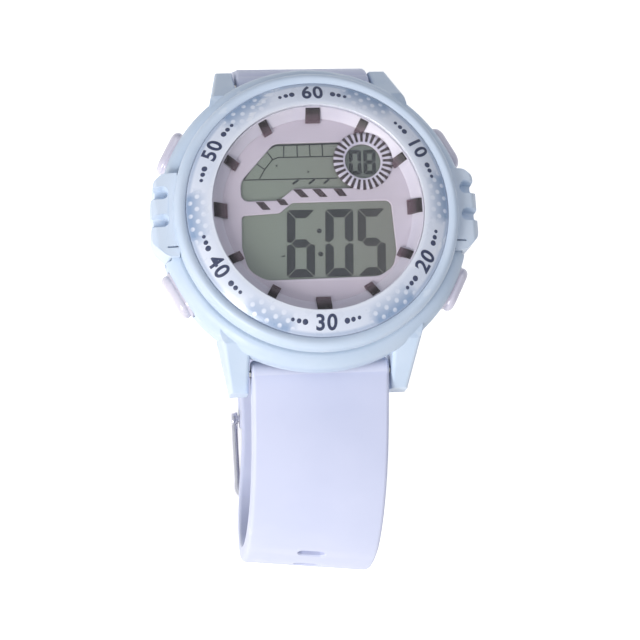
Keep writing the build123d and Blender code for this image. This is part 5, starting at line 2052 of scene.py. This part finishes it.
@dataclass
class Buckle:
    """Steel frame, tongue and bar."""

    strap: Strap
    far_reach: float = 3.9
    far_width: float = 2.2
    far_drop: float = 1.6
    far_tall: float = 1.5
    rail_width: float = 1.1
    rail_gap: float = 0.35
    rail_step: float = 0.8
    half_talls: Flat = (0.88, 0.75)
    corner: float = 1.9
    corner_blend: float = 1.3
    frame_edges: Flat = (0.42, 0.5)
    nose_reach: float = 0.4
    nose_run: float = 0.75
    nose_share: float = 0.55
    tongue_drop: float = 0.6
    tongue_halves: Flat = (0.95, 0.45)
    tongue_edges: Flat = (0.2, 0.26)
    tongue_break: float = 0.1
    break_angle: float = 60.0
    bow: float = 0.5
    eye: float = 1.3
    eye_edges: Flat = (0.2, 0.3)
    eye_slant: float = 0.15
    eye_count: int = 48
    eye_past: float = 3.0
    bore: float = 0.75

    @property
    def bar_y(self) -> float:
        """Place of the bar along the strap."""
        return self.strap.buckle_y

    @property
    def bar_z(self) -> float:
        """Height of the bar."""
        return self.strap.buckle_z

    @property
    def rail_x(self) -> float:
        """Middle of a rail."""
        return self.strap.tip_half + self.rail_gap + self.rail_width / 2

    @property
    def far_y(self) -> float:
        """Middle of the far bar."""
        return self.strap.flat_start[0] - self.far_reach + self.far_width / 2

    @property
    def far_z(self) -> float:
        """Height of the far bar's middle."""
        return self.strap.floor - self.far_drop - self.far_tall / 2

    def rail_height(self, y: float) -> float:
        """Height of the frame's middle at a y, bowed downwards."""
        share = (self.bar_y - y) / (self.bar_y - self.far_y)
        return self.bar_z + (self.far_z - self.bar_z) * share - self.bow * 4 * share * (1 - share)

    def plan(self) -> list[Flat]:
        """The frame's middle line from above, from one eye round the far bar to the other.

        Returns:
            The line's points.
        """
        corner, turn_x = self.corner, self.rail_x - self.corner
        line = [(self.rail_x, self.bar_y - step * self.rail_step) for step in range(24)]
        line = [point for point in line if point[1] > self.far_y + corner]
        for cosine, sine in arc(0, 90, 10):
            line.append((turn_x + corner * cosine, self.far_y + corner - corner * sine))
        line += [(turn_x - step * turn_x / 8, self.far_y) for step in range(1, 9)]
        return line + [(-x, y) for x, y in reversed(line[:-1])]

    def frame(self) -> bpy.types.Object:
        """The U-shaped frame with its two eyes.

        Returns:
            The frame.
        """
        plan, blend_run = self.plan(), self.corner * self.corner_blend
        lower, upper = self.frame_edges
        rail_tall, bar_tall = self.half_talls
        rings = []
        for index, (x, y) in enumerate(plan):
            before, after = Vector(plan[max(index - 1, 0)]), Vector(plan[min(index + 1, len(plan) - 1)])
            way = (after - before).normalized()
            share = eased(min(1.0, max(0.0, (self.far_y + blend_run - y) / blend_run)))
            wide = self.rail_width / 2 + (self.far_width - self.rail_width) / 2 * share
            tall = rail_tall - (rail_tall - bar_tall) * share
            section = oblong((-wide, -tall), (wide, tall), (lower, lower, upper, upper), 5)
            z = self.rail_height(y)
            rings.append([(x + way.y * a, y - way.x * a, z + b) for a, b in section])
        piece = Shell().loft(rings).make("buckle_frame_steel")
        inner, outer = self.rail_x - self.rail_width / 2, self.rail_x + self.rail_width / 2
        for side in (-1, 1):
            outline = oblong((0.0, side * inner), (self.eye, side * outer), (0.0, *self.eye_edges, 0.0), 4)
            stations = [(x, radius) for radius, x in outline[1:-1]]
            eye = Shell().loft(rings_across(stations, self.bar_y, self.bar_z, self.eye_count))
            combine(piece, [eye.make("eye")], Join.ADD)
        combine(piece, [pin(self.bore, self.strap.past_x, self.bar_y, self.bar_z)], Join.CUT, BORE_CREASE)
        return piece

    def tongue(self) -> bpy.types.Object:
        """The flat tongue with its eye.

        Returns:
            The tongue.
        """
        half, thick = self.tongue_halves
        lower, upper = self.tongue_edges
        tip_y = self.far_y - self.far_width / 2 - self.nose_reach
        tip_z = self.far_z - self.far_tall / 2 - self.tongue_drop - thick
        rings = []
        for step in range(25):
            share = step / 24
            y, z = self.bar_y + (tip_y - self.bar_y) * share, self.bar_z + (tip_z - self.bar_z) * share
            near = max(0.0, tip_y + self.nose_run - y) / self.nose_run
            narrow = half * (1 - self.nose_share * near * near)
            section = oblong((-narrow, -thick), (narrow, thick), (lower, lower, upper, upper), 4)
            rings.append([(x, y, z + b) for x, b in section])
        piece = Shell().loft(rings).make("buckle_tongue_steel")
        soften(piece, self.tongue_break, self.break_angle, 2)
        eye = pin(self.eye, half, self.bar_y, self.bar_z, self.eye_slant, self.eye_count)
        combine(piece, [eye], Join.ADD)
        combine(piece, [pin(self.bore, self.eye_past, self.bar_y, self.bar_z)], Join.CUT, BORE_CREASE)
        return piece

    def build(self) -> None:
        """Make the frame and the tongue, and carry the bar."""
        place_piece(self.frame(), BUCKLE_STEEL, "buckle", "buckle_frame")
        place_piece(self.tongue(), BUCKLE_STEEL, "tongue", "buckle_tongue")
        carry(BUCKLE_STEEL, "buckle_bar")


# Head and buttons


@dataclass
class Head:
    """Lens and the carried pieces of the head: case, back and module."""

    lens_radius: float = 15.40
    lens_top: float = 13.15
    lens_low: float = 11.5
    lens_edge: float = 0.12
    step_radius: float = 16.35
    step_top: float = 12.1

    def lens(self) -> bpy.types.Object:
        """The lens: a disc with a step at its foot and a polished edge.

        Returns:
            The lens.
        """
        profile = [(self.step_radius, self.lens_low), (self.step_radius, self.step_top)]
        profile.append((self.lens_radius, self.step_top))
        for cosine, sine in arc(0, 90, 4):
            inset, drop = self.lens_edge * (1 - cosine), self.lens_edge * (1 - sine)
            profile.append((self.lens_radius - inset, self.lens_top - drop))
        rings = [[(x, y, z) for x, y in circle(radius, 192)] for radius, z in profile]
        return Shell().loft(rings).make("crystal_lens", 50)

    def build(self) -> None:
        """Make the lens and dress each carried node."""
        carry(CASE_ABS, "case_middle")
        lens = place_piece(self.lens(), LENS_ACRYLIC, "head", "crystal")
        lens.visible_shadow = False
        lens.visible_diffuse = False
        carry(GASKET_NYLON, "crystal_gasket")
        carry(SEAL_NITRILE, "back_gasket", "contact_strips")
        carry(BACK_STEEL, "case_back")
        carry(PLATED, "case_back_screws", "module_screws", "clip_screws", "battery_clip", "battery_cell")
        carry(PLATED, "quartz_can", "spring_bar_tubes", "spring_bar_tips")
        carry(MODULE_ABS, "module_frame", "battery_holder")
        carry(BRASS, "button_contacts", "battery_contact", "buzzer_plate", "buzzer_pin")
        carry(CERAMIC, "buzzer_ceramic")
        carry(BOARD, "circuit_board")
        carry(CHIP_EPOXY, "control_chip")
        carry(GUIDE_ACRYLIC, "light_guide")
        carry(LAMP_EPOXY, "backlight_lamp")


class Corner(Enum):
    """Places of the four push buttons."""

    TWO = "two_oclock"
    FOUR = "four_oclock"
    EIGHT = "eight_oclock"
    TEN = "ten_oclock"


@dataclass
class Buttons:
    """The four push buttons with their seals, clips and coils."""

    back: float = 21.9
    front: float = 23.95
    ridge: float = 22.75
    length: float = 7.2
    tall: float = 4.2
    height: float = 5.0
    stem: float = 1.0
    stem_edge: float = 0.1
    stem_end: float = 15.3
    seal_groove: Flat = (17.4, 18.2)
    seal_radius: float = 0.65
    clip_groove: Flat = (15.55, 15.9)
    clip_radius: float = 0.7
    seat: float = 19.2
    coil_radius: float = 1.45
    coil_gap: float = 0.01
    wire: float = 0.2
    coil_turns: int = 4
    turn_steps: int = 28
    travel: float = 0.8
    angle: float = 28.0
    skirt: tuple[Flat, ...] = ((-0.35, 0.0), (-0.18, 0.03), (-0.06, 0.16), (0.04, 0.20), (0.18, 0.16))
    back_edge: tuple[Flat, ...] = ((0.0, 0.10), (0.08, 0.02))
    dome_start: float = 0.30
    dome_insets: Flat = (0.12, 0.95)
    step: float = 0.001

    def turn(self, corner: Corner) -> float:
        """Angle of a button about the dial, in radians.

        Args:
            corner: which button.

        Returns:
            The angle.
        """
        turns = {
            Corner.TWO: self.angle,
            Corner.FOUR: -self.angle,
            Corner.EIGHT: 180 + self.angle,
            Corner.TEN: 180 - self.angle,
        }
        return math.radians(turns[corner])

    def stem_stations(self) -> list[Flat]:
        """(x, radius) along the stem from its inner end to the cap.

        Returns:
            The stations.
        """
        stations = [(self.stem_end, self.stem - self.stem_edge), (self.stem_end + self.stem_edge, self.stem)]
        grooves = ((self.clip_groove, self.clip_radius), (self.seal_groove, self.seal_radius))
        for (low, high), radius in grooves:
            stations += [(low, self.stem), (low + self.step, radius)]
            stations += [(high - self.step, radius), (high, self.stem)]
        return stations + [(self.back - self.step, self.stem)]

    def cap_stations(self) -> list[Flat]:
        """(x, inset) along the cap from its back to the middle of its face.

        Returns:
            The stations.
        """
        stations = [(self.back + ahead, inset) for ahead, inset in self.back_edge]
        stations += [(self.ridge + ahead, inset) for ahead, inset in self.skirt]
        foot = self.ridge + self.dome_start
        first, more = self.dome_insets
        for cosine, sine in arc(0, 90, 9):
            stations.append((foot + (self.front - foot) * sine, first + more * (1 - cosine)))
        return stations

    def swung(self, rings: list[list[Spot]], corner: Corner) -> list[list[Spot]]:
        """Rings made along +X, turned about the dial to a button's place."""
        cosine, sine = math.cos(self.turn(corner)), math.sin(self.turn(corner))
        return [[(x * cosine - y * sine, x * sine + y * cosine, z) for x, y, z in ring] for ring in rings]

    def cap(self, corner: Corner) -> bpy.types.Object:
        """A button: its stem with two grooves, and a cap with a ridge at its foot and a domed face.

        Args:
            corner: which button.

        Returns:
            The button.
        """
        rings = rings_across(self.stem_stations(), 0.0, self.height, 64)
        for x, inset in self.cap_stations():
            half_y, half_z = self.length / 2 - inset, self.tall / 2 - inset
            outline = []
            for a, b in circle(1.0, 64):
                straight = math.copysign(half_y - half_z, a) if abs(a) > TINY else 0.0
                outline.append((x, straight + half_z * a, self.height + half_z * b))
            rings.append(outline)
        return Shell().loft(self.swung(rings, corner)).make("button_cap_" + corner.value, 40)

    def coil(self, corner: Corner) -> bpy.types.Object:
        """The return coil of one button, one unbroken wire.

        Args:
            corner: which button.

        Returns:
            The coil.
        """
        start = self.seat + self.wire + self.coil_gap
        rise = self.back - self.seat - 2 * self.wire - 2 * self.coil_gap
        slope = rise / (2 * math.pi * self.coil_turns * self.coil_radius)
        count = self.turn_steps * self.coil_turns
        rings = []
        for step in range(count + 1):
            around = 2 * math.pi * self.coil_turns * step / count
            out = Vector((0.0, math.cos(around), math.sin(around)))
            middle = Vector((start + rise * step / count, 0.0, self.height)) + out * self.coil_radius
            across = Vector((slope, -math.sin(around), math.cos(around))).cross(out).normalized()
            rings.append([tuple(middle + (out * a + across * b)) for a, b in circle(self.wire, 10)])
        return Shell().loft(self.swung(rings, corner)).make("button_coil_" + corner.value, 60)

    def build(self) -> None:
        """Make each cap and coil, and dress the other nodes."""
        for corner in Corner:
            name = corner.value
            place_piece(self.cap(corner), BUTTON_PC, "button_body_" + name, "button_" + name)
            carry(SEAL_NITRILE, "button_seal_" + name)
            carry(PLATED, "button_clip_" + name)
            coil = place_piece(self.coil(corner), PLATED, "head", "button_spring_" + name)
            way = (math.cos(self.turn(corner)), math.sin(self.turn(corner)), 0.0)
            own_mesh(coil)


# Studio


@dataclass
class Studio:
    """Pale floor, soft lamps and the camera."""

    floor_z: float = -47.05
    floor_half: float = 3000.0
    floor_glow: float = 0.66
    camera_spot: Spot = (-34.36, -72.68, 250.48)
    camera_turns: Spot = (-13.139, 8.013, 3.549)
    lens: float = 98.97
    sensor: float = 36.0
    far_clip: float = 10000.0
    ambient: float = 0.375

    def seen(self, tree: bpy.types.NodeTree, rays: bpy.types.bpy_prop_collection) -> Socket:
        """1 for a ray that the camera sees, straight, in a gloss or through the lens, and 0 for others.

        Args:
            tree: the tree of a material or of the world.
            rays: the light path node's outputs.

        Returns:
            The share.
        """
        direct = {0: rays["Is Camera Ray"], 1: rays["Is Glossy Ray"]}
        either = add_node(tree, "Math", direct, operation="MAXIMUM")[0]
        return add_node(tree, "Math", {0: either, 1: rays["Is Transmission Ray"]}, operation="MAXIMUM")[0]

    def floor(self) -> None:
        """A pale floor that looks white to the camera and keeps the shadow."""
        mesh = bpy.data.meshes.new("studio_floor")
        far, z = self.floor_half * MM, self.floor_z * MM
        corners = [(-far, -far, z), (far, -far, z), (far, far, z), (-far, far, z)]
        mesh.from_pydata(corners, [], [(0, 1, 2, 3)])
        show("studio_floor", mesh)
        material = bpy.data.materials.new("matt_white_paper")
        material.use_nodes = True
        tree = material.node_tree
        tree.nodes.clear()
        paper = add_node(tree, "BsdfDiffuse", {"Color": linear("#F2F2F2")})[0]
        seen = self.seen(tree, add_node(tree, "LightPath"))
        strength = add_node(tree, "Math", {0: seen, 1: self.floor_glow}, operation="MULTIPLY")[0]
        glow = add_node(tree, "Emission", {"Color": (1, 1, 1, 1), "Strength": strength})[0]
        add_node(tree, "OutputMaterial", {"Surface": add_node(tree, "AddShader", {0: paper, 1: glow})[0]})
        mesh.materials.append(material)

    def sky(self) -> None:
        """Even light from all round, white where the camera or a gloss sees it."""
        world = bpy.data.worlds.new("studio")
        bpy.context.scene.world = world
        world.use_nodes = True
        tree = world.node_tree
        tree.nodes.clear()
        rays = add_node(tree, "LightPath")
        first = add_node(tree, "Math", {0: rays["Diffuse Depth"], 1: 0.5}, operation="LESS_THAN")[0]
        seen = add_node(tree, "Math", {0: self.seen(tree, rays), 1: first}, operation="MULTIPLY")[0]
        level = add_node(tree, "MapRange", {"Value": seen, "To Min": self.ambient, "To Max": 1.0})[0]
        back = add_node(tree, "Background", {"Color": linear("#F4F8FF"), "Strength": level})[0]
        add_node(tree, "OutputWorld", {"Surface": back})

    def lamp(self, name: str, spot: Spot, power: float, size: float, colour: str) -> None:
        """A square soft lamp aimed at the watch.

        Args:
            name: the lamp's name.
            spot: its place in metres.
            power: its power in watts.
            size: its side in metres.
            colour: its colour in hex.
        """
        light = bpy.data.lights.new(name, "AREA")
        light.energy = power
        light.size = size
        light.color = linear(colour)[:3]
        piece = show(name, light)
        piece.location = spot
        piece.rotation_euler = (-Vector(spot)).to_track_quat("-Z", "Y").to_euler()

    def camera(self) -> None:
        """The camera at the photograph's angle, with no shift and no depth of field."""
        data = bpy.data.cameras.new("camera")
        data.lens = self.lens
        data.sensor_width = self.sensor
        data.clip_end = self.far_clip * MM
        piece = show("camera", data)
        about_x, about_y, about_z = (math.radians(value) for value in self.camera_turns)
        rotation = Matrix.Rotation(about_z, 3, "Z") @ Matrix.Rotation(about_x, 3, "X")
        rotation = rotation @ Matrix.Rotation(about_y, 3, "Y")
        spot = Matrix.Translation([value * MM for value in self.camera_spot])
        piece.matrix_world = spot @ rotation.transposed().to_4x4()
        bpy.context.scene.camera = piece

    def build(self) -> None:
        """Set up the whole studio."""
        self.floor()
        self.sky()
        self.lamp("key", (-0.56, -0.56, 0.48), 6.7, 0.40, "#FFFDFB")
        self.lamp("fill", (0.20, 0.30, 0.80), 0.8, 0.6, "#EEF2FF")
        self.camera()
        bpy.context.scene.view_settings.view_transform = "Standard"


def main() -> None:
    """Build every sub-assembly around the frame."""
    logging.basicConfig(level=logging.INFO, format="%(name)s: %(message)s")
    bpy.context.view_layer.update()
    strap = Strap()
    watch = [BezelCap(), PrintedRing(), Dial(), Display(), strap, Buckle(strap), Head(), Buttons()]
    for part in watch + [Studio()]:
        part.build()
        log.info("finished %s", type(part).__name__)


if __name__ == "__main__":
    main()
